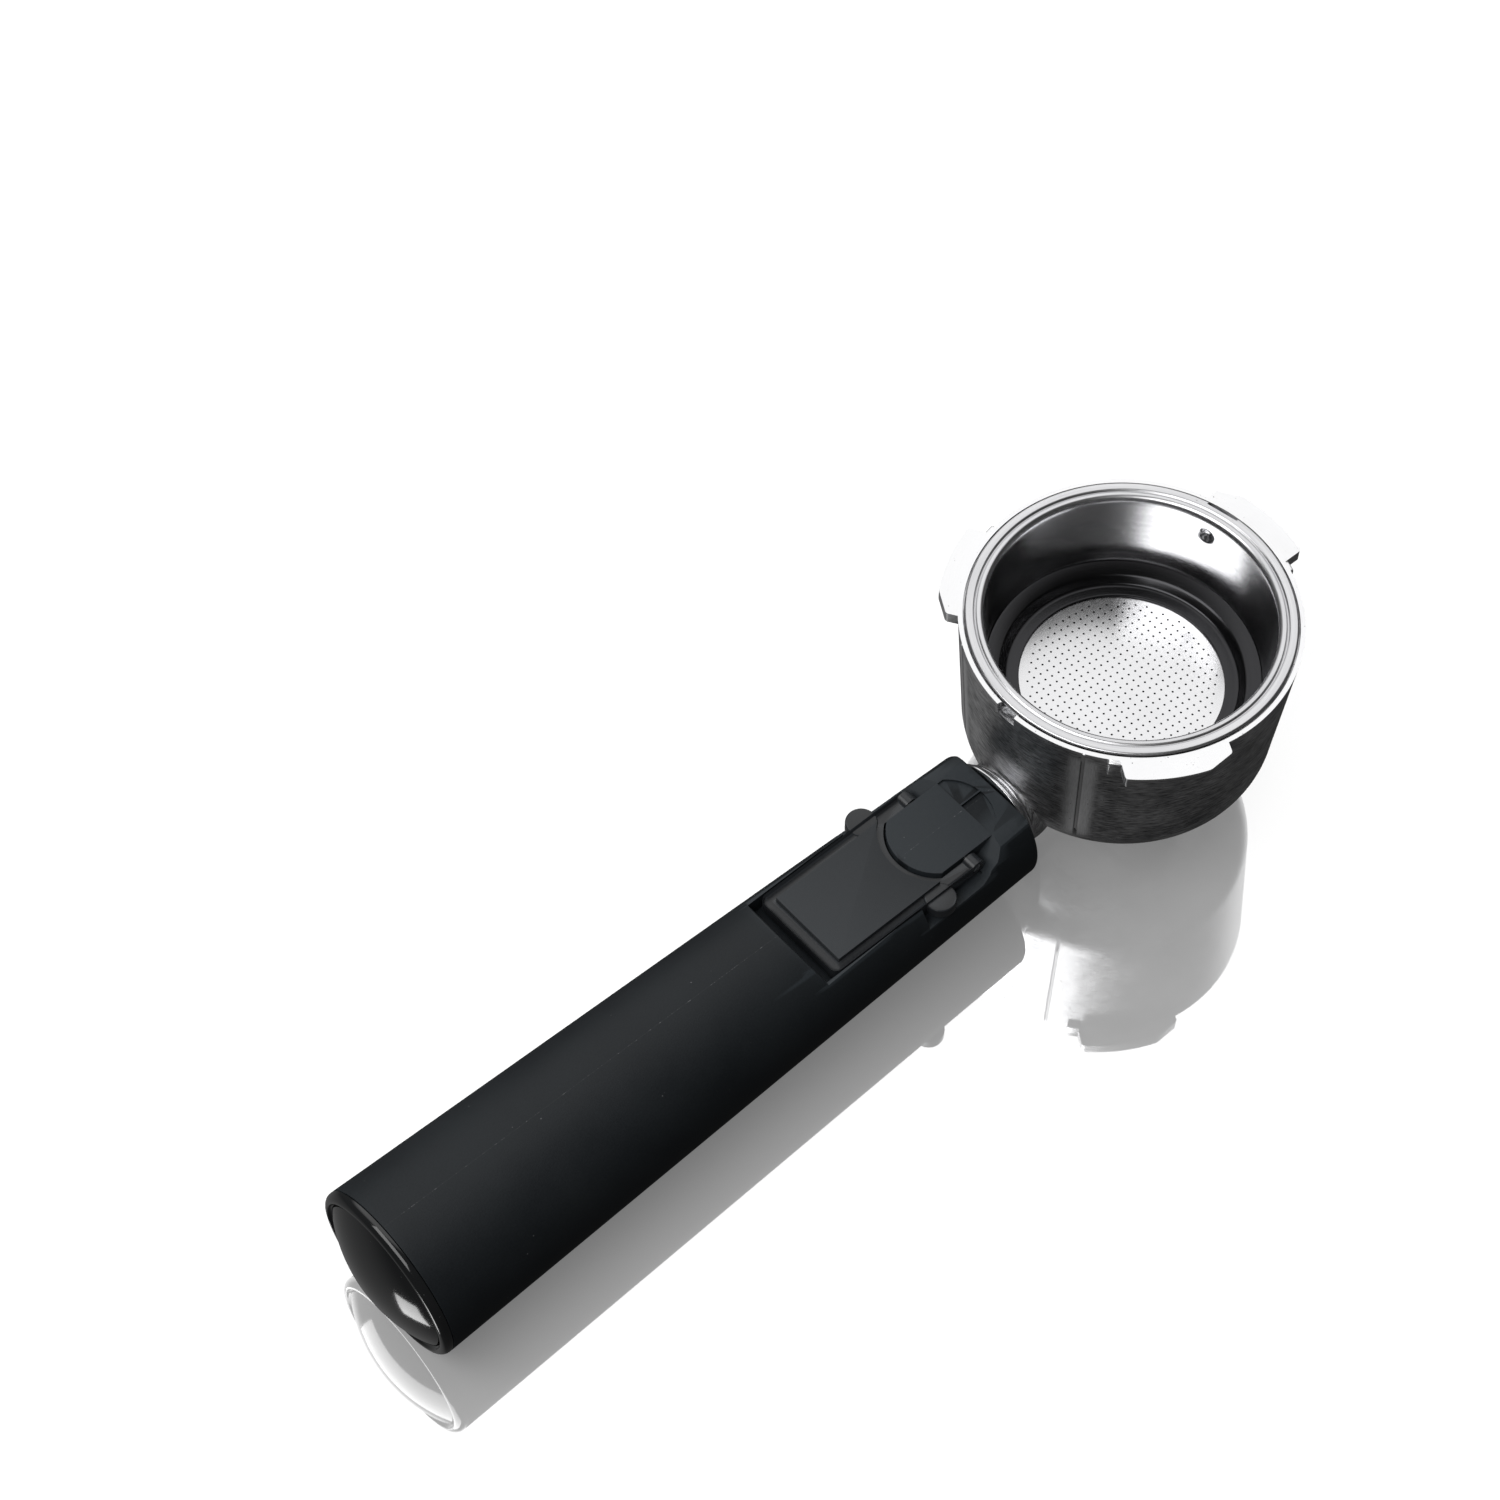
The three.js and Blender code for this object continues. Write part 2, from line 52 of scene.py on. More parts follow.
MM = 0.001
FLANGE_TOP = 50
CASTING_TOP = 49.5
CUP_BOTTOM = 12
HANDLE_Z = 17
LUG_ANGLES = (60, 180, 300)
LUG_R = 34.9
LUG_THICK = 2.5
DIMPLE_ANGLE = 193
PARTING_ANGLES = (30, 330)
PARTING_BAND = 4.6  # half the ground band's width, in degrees


def wall_radius(z):
    """The cup's outside radius, which draws in towards the bottom."""
    return 31.2 - 0.074 * (FLANGE_TOP - z)


def lathe(outline, steps=160, segments=4):
    """An outline of (radius, height) turned once round the upright axis. A third number rounds
    that corner. An outline that starts off the axis is closed on itself, as a ring."""
    bm = bmesh.new()
    corners = [bm.verts.new((c[0], 0, c[1])) for c in outline]
    for a, b in zip(corners, corners[1:]):
        bm.edges.new((a, b))
    if outline[0][0] > 0:
        bm.edges.new((corners[-1], corners[0]))
    for corner, c in zip(corners, outline):
        if len(c) > 2:
            bmesh.ops.bevel(bm, geom=[corner], offset=c[2], affect="VERTICES",
                            segments=segments, profile=0.5, material=-1)
    bmesh.ops.spin(bm, geom=bm.verts[:] + bm.edges[:], cent=(0, 0, 0), axis=(0, 0, 1),
                   angle=2 * math.pi, steps=steps, use_merge=True)
    bmesh.ops.remove_doubles(bm, verts=bm.verts[:], dist=1e-4)
    bmesh.ops.recalc_face_normals(bm, faces=bm.faces[:])
    return bm


def onto_handle(bm):
    """Lays an upright turned shape along the handle's axis: its height becomes X."""
    bmesh.ops.rotate(bm, verts=bm.verts[:], cent=(0, 0, 0),
                     matrix=Matrix.Rotation(math.pi / 2, 3, "Y"))
    bmesh.ops.translate(bm, verts=bm.verts[:], vec=(0, 0, HANDLE_Z))
    return bm


def arc(cx, cy, radius, start, end, steps):
    """Points along an arc, with its angles in degrees."""
    turn = [math.radians(start + (end - start) * i / steps) for i in range(steps + 1)]
    return [(cx + radius * math.cos(a), cy + radius * math.sin(a)) for a in turn]


def raise_face(bm, corners, push):
    """A flat face with these corners, pushed out into a closed solid."""
    face = bm.faces.new([bm.verts.new(c) for c in corners])
    made = bmesh.ops.extrude_face_region(bm, geom=[face])["geom"]
    top = [v for v in made if isinstance(v, bmesh.types.BMVert)]
    bmesh.ops.translate(bm, vec=push, verts=top)
    bmesh.ops.recalc_face_normals(bm, faces=bm.faces[:])
    return bm


def slab(outline, low, high):
    """A plan outline raised from one height to another."""
    return raise_face(bmesh.new(), [(x, y, low) for x, y in outline], (0, 0, high - low))


def box(x0, x1, y0, y1, z0, z1):
    return slab([(x0, y0), (x1, y0), (x1, y1), (x0, y1)], z0, z1)


def round_edges(bm, edges, size, segments=3):
    """Rounds some edges of a solid off by a size."""
    bmesh.ops.bevel(bm, geom=edges, offset=size, affect="EDGES", segments=segments, profile=0.5,
                    material=-1)


def top_edges(bm, above):
    """The edges that lie wholly above a height."""
    return [e for e in bm.edges if min(v.co.z for v in e.verts) > above]


def fin(outline, half):
    """An outline of (radius, height) as a thin upright plate that points out from the axis."""
    corners = [(r, -half, z) for r, z in outline]
    return raise_face(bmesh.new(), corners, (0, 2 * half, 0))


def turned_by(bm, degrees):
    bmesh.ops.rotate(bm, verts=bm.verts[:], cent=(0, 0, 0),
                     matrix=Matrix.Rotation(math.radians(degrees), 3, "Z"))
    return bm


def together(*shapes):
    """Several separate solids as one mesh."""
    whole = bmesh.new()
    for shape in shapes:
        mesh = bpy.data.meshes.new("part")
        shape.to_mesh(mesh)
        shape.free()
        whole.from_mesh(mesh)
        bpy.data.meshes.remove(mesh)
    return whole


def worked(blank, *steps):
    """Machines a blank: each step is ("UNION" or "DIFFERENCE" or "INTERSECT", solid)."""
    def laid_out(bm):
        mesh = bpy.data.meshes.new("blank")
        bm.to_mesh(mesh)
        bm.free()
        thing = bpy.data.objects.new("blank", mesh)
        bpy.context.scene.collection.objects.link(thing)
        return thing

    base = laid_out(blank)
    tools = []
    for kind, solid in steps:
        tools.append(laid_out(solid))
        cut = base.modifiers.new("cut", "BOOLEAN")
        cut.operation, cut.solver, cut.object = kind, "EXACT", tools[-1]
    finished = bmesh.new()
    finished.from_object(base, bpy.context.evaluated_depsgraph_get())
    for thing in [base, *tools]:
        mesh = thing.data
        bpy.data.objects.remove(thing)
        bpy.data.meshes.remove(mesh)
    bmesh.ops.remove_doubles(finished, verts=finished.verts[:], dist=1e-3)
    bmesh.ops.dissolve_degenerate(finished, edges=finished.edges[:], dist=1e-3)
    return finished


def piece(bm, name, material, body, slot, *nodes, sharp=32, edge=0.0, segments=2):
    """A finished mesh in metres, smooth but for its sharp edges, which edge rounds off in mm."""
    bmesh.ops.scale(bm, vec=(MM, MM, MM), verts=bm.verts[:])
    mesh = bpy.data.meshes.new(name)
    bm.to_mesh(mesh)
    bm.free()
    mesh.polygons.foreach_set("use_smooth", [True] * len(mesh.polygons))
    mesh.set_sharp_from_angle(angle=math.radians(sharp))
    mesh.materials.append(material)
    made = bpy.data.objects.new(name, mesh)
    bpy.context.scene.collection.objects.link(made)
    if edge:
        broken = made.modifiers.new("edge", "BEVEL")
        broken.width, broken.segments = edge * MM, segments
        broken.limit_method, broken.angle_limit = "ANGLE", math.radians(sharp)
        broken.harden_normals = True
    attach(made, body)
    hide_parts(*nodes)
    return made


def add(finish, kind, values, **settings):
    """One node of a finish. Values are its inputs: a number, or another node's output."""
    made = finish.node_tree.nodes.new("ShaderNode" + kind)
    for key, value in settings.items():
        setattr(made, key, value)
    for key, value in values.items():
        if isinstance(value, bpy.types.NodeSocket):
            finish.node_tree.links.new(value, made.inputs[key])
        else:
            made.inputs[key].default_value = value
    return made


def sum_of(finish, kind, a, b=0.0, c=0.0):
    return add(finish, "Math", {0: a, 1: b, 2: c}, operation=kind).outputs[0]


def vector_of(finish, kind, a, b=(0, 0, 0), out="Vector"):
    return add(finish, "VectorMath", {0: a, 1: b}, operation=kind).outputs[out]


def ranged(finish, value, low, high, to_low=0.0, to_high=1.0):
    """A value brought from one range to another, and held inside it."""
    return add(finish, "MapRange", {"Value": value, "From Min": low, "From Max": high,
                                    "To Min": to_low, "To Max": to_high}).outputs["Result"]


def noise(finish, place, scale, detail=2.0, rough=0.5):
    return add(finish, "TexNoise", {"Vector": place, "Scale": scale, "Detail": detail,
                                    "Roughness": rough}).outputs["Fac"]


def mixed(finish, share, a, b):
    """Two colours, mixed by a share of the second."""
    made = add(finish, "Mix", {"Factor": share}, data_type="RGBA")
    for socket, colour in ((made.inputs[6], a), (made.inputs[7], b)):
        if isinstance(colour, bpy.types.NodeSocket):
            finish.node_tree.links.new(colour, socket)
        else:
            socket.default_value = (*colour, 1)
    return made.outputs[2]


def new_finish(name, metallic, **sockets):
    """A material with its plain shader values set, and its shader."""
    finish = bpy.data.materials.new(name)
    finish.use_nodes = True
    shader = finish.node_tree.nodes["Principled BSDF"]
    shader.inputs["Metallic"].default_value = metallic
    for key, value in sockets.items():
        shader.inputs[key.replace("_", " ")].default_value = value
    return finish, shader


def wire(finish, shader, colour, roughness, height=None, depth=0.00003, strength=0.5):
    """Joins a finish's colour, roughness and surface height to its shader."""
    links = finish.node_tree.links
    links.new(colour, shader.inputs["Base Color"])
    links.new(roughness, shader.inputs["Roughness"])
    if height is not None:
        bump = add(finish, "Bump", {"Strength": strength, "Distance": depth, "Height": height})
        links.new(bump.outputs["Normal"], shader.inputs["Normal"])


def round_the_axis(finish, along_x=False):
    """Where a point is on a turned piece: its direction out from the axis, and how far along and
    out it is. The handle's axis is X, the cup's is Z."""
    place = add(finish, "TexCoord", {}).outputs["Object"]
    if along_x:
        place = vector_of(finish, "SUBTRACT", place, (0, 0, HANDLE_Z * MM))
    across = (0, 1, 1) if along_x else (1, 1, 0)
    axis = (1, 0, 0) if along_x else (0, 0, 1)
    flat = vector_of(finish, "MULTIPLY", place, across)
    out = vector_of(finish, "LENGTH", flat, out="Value")
    along = vector_of(finish, "DOT_PRODUCT", place, axis, out="Value")
    return place, vector_of(finish, "NORMALIZE", flat), axis, along, out


def tool_marks(finish, where, round_scale, line_scale, detail=3.0):
    """Lines that run round a turned piece: long round the axis, fine along and out from it."""
    _, direction, axis, along, out = where
    step = sum_of(finish, "MULTIPLY_ADD", out, 1.37, along)
    step = sum_of(finish, "MULTIPLY", step, line_scale)
    lift = add(finish, "VectorMath", {0: axis, "Scale": step}, operation="SCALE").outputs[0]
    turn = add(finish, "VectorMath", {0: direction, "Scale": round_scale},
               operation="SCALE").outputs[0]
    return noise(finish, vector_of(finish, "ADD", turn, lift), 1.0, detail, 0.6)


def edge_wear_and_highlight(finish):
    """How much of an outside edge a point is, for edge wear and for a painted edge highlight."""
    edge = add(finish, "NewGeometry", {}).outputs["Pointiness"]
    return ranged(finish, edge, 0.515, 0.58)


def specks(finish, place, scale, rim, core, patch_scale, patch_low, patch_high):
    """Small round dots that lie in patches."""
    dots = add(finish, "TexVoronoi", {"Vector": place, "Scale": scale}).outputs["Distance"]
    patch = noise(finish, place, patch_scale)
    return sum_of(finish, "MULTIPLY", ranged(finish, dots, rim, core),
                  ranged(finish, patch, patch_low, patch_high))


def brush_round(finish, shader):
    """Stretches highlights across marks that run round the cup's axis."""
    tangent = add(finish, "Tangent", {}, direction_type="RADIAL", axis="Z")
    finish.node_tree.links.new(tangent.outputs[0], shader.inputs["Tangent"])


def cast_metal_finish():
    finish, shader = new_finish("cast_alloy", 1.0, Anisotropic=0.3)
    where = round_the_axis(finish)
    place, direction, _, along, out = where
    brushed = tool_marks(finish, where, 15.0, 2600.0, 4.0)
    coarse = tool_marks(finish, where, 6.0, 900.0, 2.0)
    patches = noise(finish, place, 120.0, 4.0, 0.6)
    # the two ground bands: a satin strip with upright marks, painted lighter partly as a painted
    # sheen, and the dark parting line in it
    strips = {}
    for kind, outer, inner in (("band", PARTING_BAND + 1.6, PARTING_BAND - 1.2),
                               ("line", 1.0, 0.4)):
        for angle in PARTING_ANGLES:
            a = math.radians(angle)
            facing = vector_of(finish, "DOT_PRODUCT", direction, (math.cos(a), math.sin(a), 0),
                               out="Value")
            one = ranged(finish, facing, math.cos(math.radians(outer)),
                         math.cos(math.radians(inner)))
            strips[kind] = sum_of(finish, "MAXIMUM", strips[kind], one) if kind in strips else one
    wall = ranged(finish, along, 0.0478, 0.0462)
    outside = ranged(finish, out, 0.0285, 0.0292)
    band = sum_of(finish, "MULTIPLY", sum_of(finish, "MULTIPLY", strips["band"], wall), outside)
    line = sum_of(finish, "MULTIPLY", strips["line"], band)
    upright = noise(finish, vector_of(finish, "MULTIPLY", place, (6500, 6500, 260)), 1.0, 2.0)
    marks = add(finish, "Mix", {"Factor": band, 2: brushed, 3: upright}).outputs[0]
    bright = sum_of(finish, "MULTIPLY_ADD", patches, 0.6, sum_of(finish, "MULTIPLY", marks, 0.8))
    colour = mixed(finish, ranged(finish, bright, 0.52, 0.86), (0.19, 0.195, 0.205),
                   (0.88, 0.88, 0.89))
    # the ground bands are painted lighter: partly their satin finish, partly a painted sheen
    colour = mixed(finish, sum_of(finish, "MULTIPLY", band, 0.75), colour, (0.95, 0.95, 0.96))
    # the rim and lug tops are painted near white: partly their faced finish, partly a painted
    # highlight
    faced_tops_and_highlight = ranged(finish, along, 0.0488, 0.0492)
    colour = mixed(finish, sum_of(finish, "MULTIPLY", faced_tops_and_highlight, 0.9), colour, (0.96, 0.96, 0.965))
    pits = specks(finish, place, 1500.0, 0.2, 0.1, 420.0, 0.58, 0.66)
    dirt = sum_of(finish, "MAXIMUM", line, pits)
    colour = mixed(finish, dirt, colour, (0.04, 0.04, 0.045))
    # outside edges are painted lighter: partly wear, partly a painted edge highlight
    colour = mixed(finish, sum_of(finish, "MULTIPLY", edge_wear_and_highlight(finish), 0.6), colour,
                   (0.92, 0.92, 0.93))
    rough = ranged(finish, sum_of(finish, "ADD", marks, patches), 0.7, 1.3, 0.26, 0.44)
    rough = add(finish, "Mix", {"Factor": band, 2: rough, 3: 0.5}).outputs[0]
    height = sum_of(finish, "MULTIPLY_ADD", coarse, 0.7, marks)
    height = sum_of(finish, "MULTIPLY_ADD", dirt, -1.5, height)
    wire(finish, shader, colour, rough, height)
    brush_round(finish, shader)
    return finish


cast_alloy = cast_metal_finish()


def lug(angle):
    """A bayonet lug, square at its leading end and chamfered at its trailing end."""
    trailing, chamfer = math.radians(17.5), LUG_R - 1.6
    outline = arc(0, 0, 29.5, 19.5, -19, 8) + arc(0, 0, LUG_R, -16.2, 9, 18)
    outline.append((chamfer * math.cos(trailing), chamfer * math.sin(trailing)))
    bm = slab(outline, CASTING_TOP - LUG_THICK, CASTING_TOP)
    upright = [e for e in bm.edges if abs(e.verts[0].co.z - e.verts[1].co.z) > 1
               and e.verts[0].co.xy.length > 31 and e.calc_face_angle() > math.radians(15)]
    round_edges(bm, upright, 0.45, 4)
    return turned_by(bm, angle)


def parting_ridge(angle):
    """What the grinding left of the flash, a low uneven ridge down the wall."""
    down = [49.3 - 3.0 * i for i in range(10)]
    proud = [(wall_radius(z) + 0.1 + 0.03 * math.sin(2.3 * i), z) for i, z in enumerate(down)]
    return turned_by(fin([(28.6, 22.3), *reversed(proud), (28.6, 49.3)], 0.2), angle)


def seat_pad(angle):
    """The small cast step under the rim that leads up to a lug's square end."""
    bm = box(29.4, 31.9, -1.3, 1.3, 45.4, 49.2)
    round_edges(bm, bm.edges[:], 0.35)
    return turned_by(bm, angle - 19.6)


BOTTOM_ROUND = 10
SEAT_Z = 48.1  # where the basket's flange rests in the rim
BOLT_HOLE_R = 4.3
STUD_HOLE_R = 3.3
fillet = arc(wall_radius(22) - BOTTOM_ROUND, 22, BOTTOM_ROUND, -90, -4.2, 18)
wall = [(wall_radius(z), z) for z in (24, 26, 29, 32, 35, 38, 41, 43.5, 45.5, 47, CASTING_TOP)]
cup_blank = lathe([(0, CUP_BOTTOM), *fillet, *wall, (0, CASTING_TOP)], 200)
neck = onto_handle(lathe([(0, 16), (4, 16), (8.6, 25.2, 2), (8.6, 28.3, 0.3), (8.3, 28.6, 0.15),
                          (8.5, 28.9, 0.15), (8.5, 29.5), (6.4, 29.5), (6.4, 36, 0.4), (0, 36)],
                         96))
bore = lathe([(0, 15), *arc(19.1, 22.5, 7.5, -90, 0, 12), (27.9, SEAT_Z), (30.3, SEAT_Z),
              (30.3, 51), (0, 51)], 200)
# the rim's notch, the dimple's slot, the outlet's hole and the stud's hole
openings = together(
    slab(arc(31.2, 0, 2.1, 0, 345, 23), 47, 52),
    turned_by(box(25, 29, -3.3, 3.3, 41.8, 52), DIMPLE_ANGLE),
    slab(arc(0, 0, BOLT_HOLE_R, 0, 352.5, 47), 10, 16),
    onto_handle(lathe([(0, 27.8), (STUD_HOLE_R, 27.8), (STUD_HOLE_R, 37), (0, 37)], 48)))
cup = worked(cup_blank, ("UNION", together(*[lug(a) for a in LUG_ANGLES])), ("UNION", neck),
             ("UNION", together(*[parting_ridge(a) for a in PARTING_ANGLES])),
             ("UNION", together(*[seat_pad(a) for a in LUG_ANGLES])),
             ("DIFFERENCE", bore), ("DIFFERENCE", openings))
piece(cup, "cup", cast_alloy, "holder", "cast_metal", "cup_casting", edge=0.14)

# ---------------------------------------------------------------- inner insert and its valve
# Under the basket sits a moulded insert with a spring-loaded valve, held by its rubber ring.
# The valve, its spring and the outlet's bolt are small turned steel parts.


def moulded_finish(name, dark, light, roughness, grain=3800.0, coat=0.0, level=0.4, shine=0.5):
    """Moulded plastic: a fine grain, a slow change of tone from the mould, and edges painted
    lighter, partly wear and partly a painted highlight.
    """
    finish, shader = new_finish(name, 0.0, Specular_IOR_Level=level, Coat_Weight=coat,
                                Coat_Roughness=0.12)
    place = add(finish, "TexCoord", {}).outputs["Object"]
    fine = noise(finish, place, grain, 3.0, 0.6)
    cloud = noise(finish, place, 55.0, 4.0, 0.6)
    tone = sum_of(finish, "MULTIPLY_ADD", cloud, 1.2, sum_of(finish, "MULTIPLY", fine, 0.8))
    colour = mixed(finish, ranged(finish, tone, 0.7, 1.3), dark, light)
    speck = specks(finish, place, 520.0, 0.09, 0.04, 160.0, 0.60, 0.64)
    colour = mixed(finish, sum_of(finish, "MULTIPLY", speck, 0.35), colour, (0.30, 0.30, 0.31))
    # outside edges are painted lighter: partly wear, partly a painted edge highlight
    edge = edge_wear_and_highlight(finish)
    colour = mixed(finish, sum_of(finish, "MULTIPLY", edge, 0.45), colour,
                   tuple(3.2 * c for c in light))
    rough = ranged(finish, sum_of(finish, "MULTIPLY_ADD", fine, 0.5, cloud), 0.4, 1.0,
                   roughness - 0.06, roughness + 0.07)
    rough = sum_of(finish, "MULTIPLY_ADD", edge, -0.12, rough)
    height = sum_of(finish, "MULTIPLY_ADD", speck, 0.6, fine)
    wire(finish, shader, colour, rough, height, 0.00004, shine)
    return finish


def turned_steel_finish(name, along_x, dark=0.42, light=0.74):
    """Small steel parts with the lathe's own marks."""
    finish, shader = new_finish(name, 1.0)
    where = round_the_axis(finish, along_x)
    marks = tool_marks(finish, where, 4.0, 7000.0)
    cloud = noise(finish, where[0], 300.0, 3.0)
    colour = mixed(finish, ranged(finish, sum_of(finish, "ADD", marks, cloud), 0.7, 1.3),
                   (dark, dark, dark * 1.02), (light, light, light * 1.01))
    rough = ranged(finish, sum_of(finish, "ADD", marks, cloud), 0.6, 1.4, 0.2, 0.4)
    wire(finish, shader, colour, rough, marks, 0.00002, 0.5)
    return finish


def dress(finish, *nodes):
    """Gives CAD nodes whose shape stays their own finish."""
    for name in nodes:
        for material_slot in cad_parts[name].material_slots:
            material_slot.material = finish


inner_moulding = moulded_finish("inner_moulding", (0.014, 0.014, 0.015), (0.03, 0.03, 0.032), 0.5)
black_rubber = moulded_finish("black_rubber", (0.012, 0.012, 0.012), (0.028, 0.028, 0.028), 0.78,
                              2400.0, shine=0.8)
upright_steel = turned_steel_finish("steel_turned_upright", False)
handle_steel = turned_steel_finish("steel_turned_along", True)
dress(black_rubber, "frother_gasket", "outlet_seal", "outlet_gasket")
dress(upright_steel, "valve_plunger", "outlet_bolt")

# the coil spring, which shortens towards its lower end as the valve opens, is kept as a mesh of
# its own
coil = bmesh.new()
coil.from_mesh(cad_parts["valve_spring"].data)
bmesh.ops.remove_doubles(coil, verts=coil.verts[:], dist=1e-7)
bmesh.ops.scale(coil, vec=(1 / MM, 1 / MM, 1 / MM), verts=coil.verts[:])
spring = piece(coil, "valve_coil", upright_steel, "holder", "small_steel", "valve_spring",
               sharp=60)
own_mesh(spring)

INSERT_DECK = 25
insert_ring = lathe([(2.4, 23.5), (20.5, 23.5), (20.5, 18.9, 0.3), (23, 18.9, 0.3), (23, 23.5),
                     (25.8, 23.5, 0.4), (25.8, 28, 0.3), (24.4, 28, 0.3), (24.4, INSERT_DECK, 0.5),
                     (5.4, INSERT_DECK, 0.2), (5.2, 25.5, 0.2), (2.4, 25.5, 0.2)], 128)
ribs = []
for turn in (45, 135, 225, 315):
    rib = box(4.6, 24.6, -0.7, 0.7, 24.4, 26.1)
    round_edges(rib, top_edges(rib, 26), 0.4)
    ribs.append(turned_by(rib, turn))
piece(worked(insert_ring, ("UNION", together(*ribs))), "insert", inner_moulding, "holder",
      "inner_plastic", "frother_insert", edge=0.1)

# ---------------------------------------------------------------- basket
# The basket is one drawn cup of satin stainless steel: a beaded flange, a plain wall with one
# pressed dimple that keys it in the holder, and steps down to the seat of its perforated floor.

DIMPLE_Z = 45.2
DIMPLE_R = 1.95
DIMPLE_DEPTH = 0.85
CUTOUT_ANGLE = 191


def drawn_steel_finish():
    finish, shader = new_finish("drawn_steel", 1.0, Anisotropic=0.3)
    where = round_the_axis(finish)
    place, _, _, along, _ = where
    lines = tool_marks(finish, where, 5.0, 9000.0)
    bands = tool_marks(finish, where, 1.2, 1300.0, 2.0)
    cloud = noise(finish, place, 140.0, 3.0)
    flange = ranged(finish, along, 0.0488, 0.0492)
    # the mask of the basket's low steps, which are painted near black below as painted shade
    steps = ranged(finish, along, 0.0332, 0.0324)
    tone = sum_of(finish, "MULTIPLY_ADD", bands, 0.6, sum_of(finish, "MULTIPLY", lines, 0.6))
    colour = mixed(finish, ranged(finish, tone, 0.4, 0.8), (0.60, 0.60, 0.615),
                   (0.76, 0.76, 0.77))
    # below about 33 mm the basket's steps and lip are painted near black: painted shade, not the
    # steel's colour
    colour = mixed(finish, sum_of(finish, "MULTIPLY", steps, 0.96), colour, (0.02, 0.02, 0.022))
    nick = specks(finish, place, 700.0, 0.12, 0.06, 210.0, 0.62, 0.66)
    nick = sum_of(finish, "MULTIPLY", nick, flange)
    colour = mixed(finish, sum_of(finish, "MULTIPLY", nick, 0.7), colour, (0.2, 0.2, 0.21))
    rough = ranged(finish, sum_of(finish, "ADD", lines, cloud), 0.6, 1.4, 0.11, 0.19)
    rough = sum_of(finish, "MULTIPLY_ADD", flange, 0.14, rough)
    rough = sum_of(finish, "MULTIPLY_ADD", steps, 0.06, rough)
    height = sum_of(finish, "MULTIPLY_ADD", nick, -1.2, lines)
    wire(finish, shader, colour, rough, height, 0.000012, 0.45)
    brush_round(finish, shader)
    return finish


drawn_steel = drawn_steel_finish()

WALL = ((25.5, 32.8), (26.4, 48.9))


def up_the_wall(thickness, *heights):
    """Points on the wall at some heights, on its inside or a sheet's thickness outside it."""
    (r0, z0), (r1, z1) = WALL
    return [(r0 + (r1 - r0) * (z - z0) / (z1 - z0) + thickness, z) for z in heights]


dimple_rows = [DIMPLE_Z + 0.35 * i for i in range(-7, 8)]
shell = lathe([
    # inside, from the lip round the floor up to the flange
    (18.95, 29.35), (18.95, 29.62, 0.06), (19.25, 29.72, 0.1), (20.9, 29.86, 0.2),
    (21.45, 30.05, 0.2), (21.75, 30.4, 0.15), (22.6, 31.35, 0.3), (25.15, 32.3, 0.15),
    (25.35, 32.3, 0.08), (25.5, 32.8, 0.2), *up_the_wall(0, *dimple_rows), (26.4, 48.9, 0.35),
    # the flange: an inner bead, a bright band, a groove and the flat outer ring
    (26.65, 49.55, 0.15), (27.15, 49.93, 0.2), (27.75, 49.93, 0.2), (28.1, 49.58, 0.15),
    (28.45, FLANGE_TOP, 0.2), (29.75, FLANGE_TOP, 0.22), (30, 49.7, 0.15), (30, 48.8, 0.2),
    (29.7, 48.5, 0.2), (27.3, 48.5, 0.5),
    # outside, one sheet's thickness away, down to the lip that holds the floor
    *up_the_wall(0.6, *reversed(dimple_rows)), (26.1, 33, 0.4), (25.55, 31.7, 0.4),
    (22.95, 30.7, 0.4), (22.0, 29.5, 0.3), (21.25, 29.2, 0.4), (19.9, 28.1, 0.3),
    (17.8, 28.1, 0.15), (17.8, 28.5, 0.15), (19.3, 28.5), (19.3, 29.35)],
    240, 3)
# the dimple is pressed out of the wall, in rows that are closer together there
dimple = Vector((26.2 * math.cos(math.radians(DIMPLE_ANGLE)),
                 26.2 * math.sin(math.radians(DIMPLE_ANGLE)), DIMPLE_Z))
out_from_axis = Vector((dimple.x, dimple.y, 0)).normalized()
near = [e for e in shell.edges
        if all((v.co - dimple).length < 3.1 and abs(v.co.z - DIMPLE_Z) < 2.5 for v in e.verts)]
bmesh.ops.subdivide_edges(shell, edges=near, cuts=1, use_grid_fill=True)
for vert in shell.verts:
    away = vert.co - dimple
    along_wall = (away - out_from_axis * away.dot(out_from_axis)).length
    if away.length < 3.5 and along_wall < DIMPLE_R and abs(away.z) < 2.3:
        pressed = 0.5 + 0.5 * math.cos(math.pi * along_wall / DIMPLE_R)
        vert.co += out_from_axis * DIMPLE_DEPTH * pressed
cutout = turned_by(box(29.2, 31, -3.2, 3.2, 48, 51), CUTOUT_ANGLE)
piece(worked(shell, ("DIFFERENCE", cutout)), "basket", drawn_steel, "basket", "basket_steel",
      "basket_shell", sharp=40, edge=0.06)

# ---------------------------------------------------------------- perforated floor
# A bright steel disc, punched with about 440 holes of 0.4 mm on a square grid, is held in
# the basket's lip.

FLOOR_R = 19
HOLE_R = 0.21
HOLE_PITCH = 1.5
HOLE_ROWS = -8.05  # the way the rows run, in degrees
HOLE_START = (-0.38, -0.32)


def punched_steel_finish():
    finish, shader = new_finish("punched_steel", 1.0)
    place = add(finish, "TexCoord", {}).outputs["Object"]
    rolled = noise(finish, vector_of(finish, "MULTIPLY", place, (900, 9000, 900)), 1.0, 2.0)
    cloud = noise(finish, place, 70.0, 3.0)
    colour = mixed(finish, ranged(finish, sum_of(finish, "ADD", rolled, cloud), 0.7, 1.3),
                   (0.74, 0.74, 0.75), (0.84, 0.84, 0.85))
    rough = ranged(finish, sum_of(finish, "ADD", rolled, cloud), 0.6, 1.4, 0.18, 0.30)
    wire(finish, shader, colour, rough, rolled, 0.00001, 0.3)
    return finish


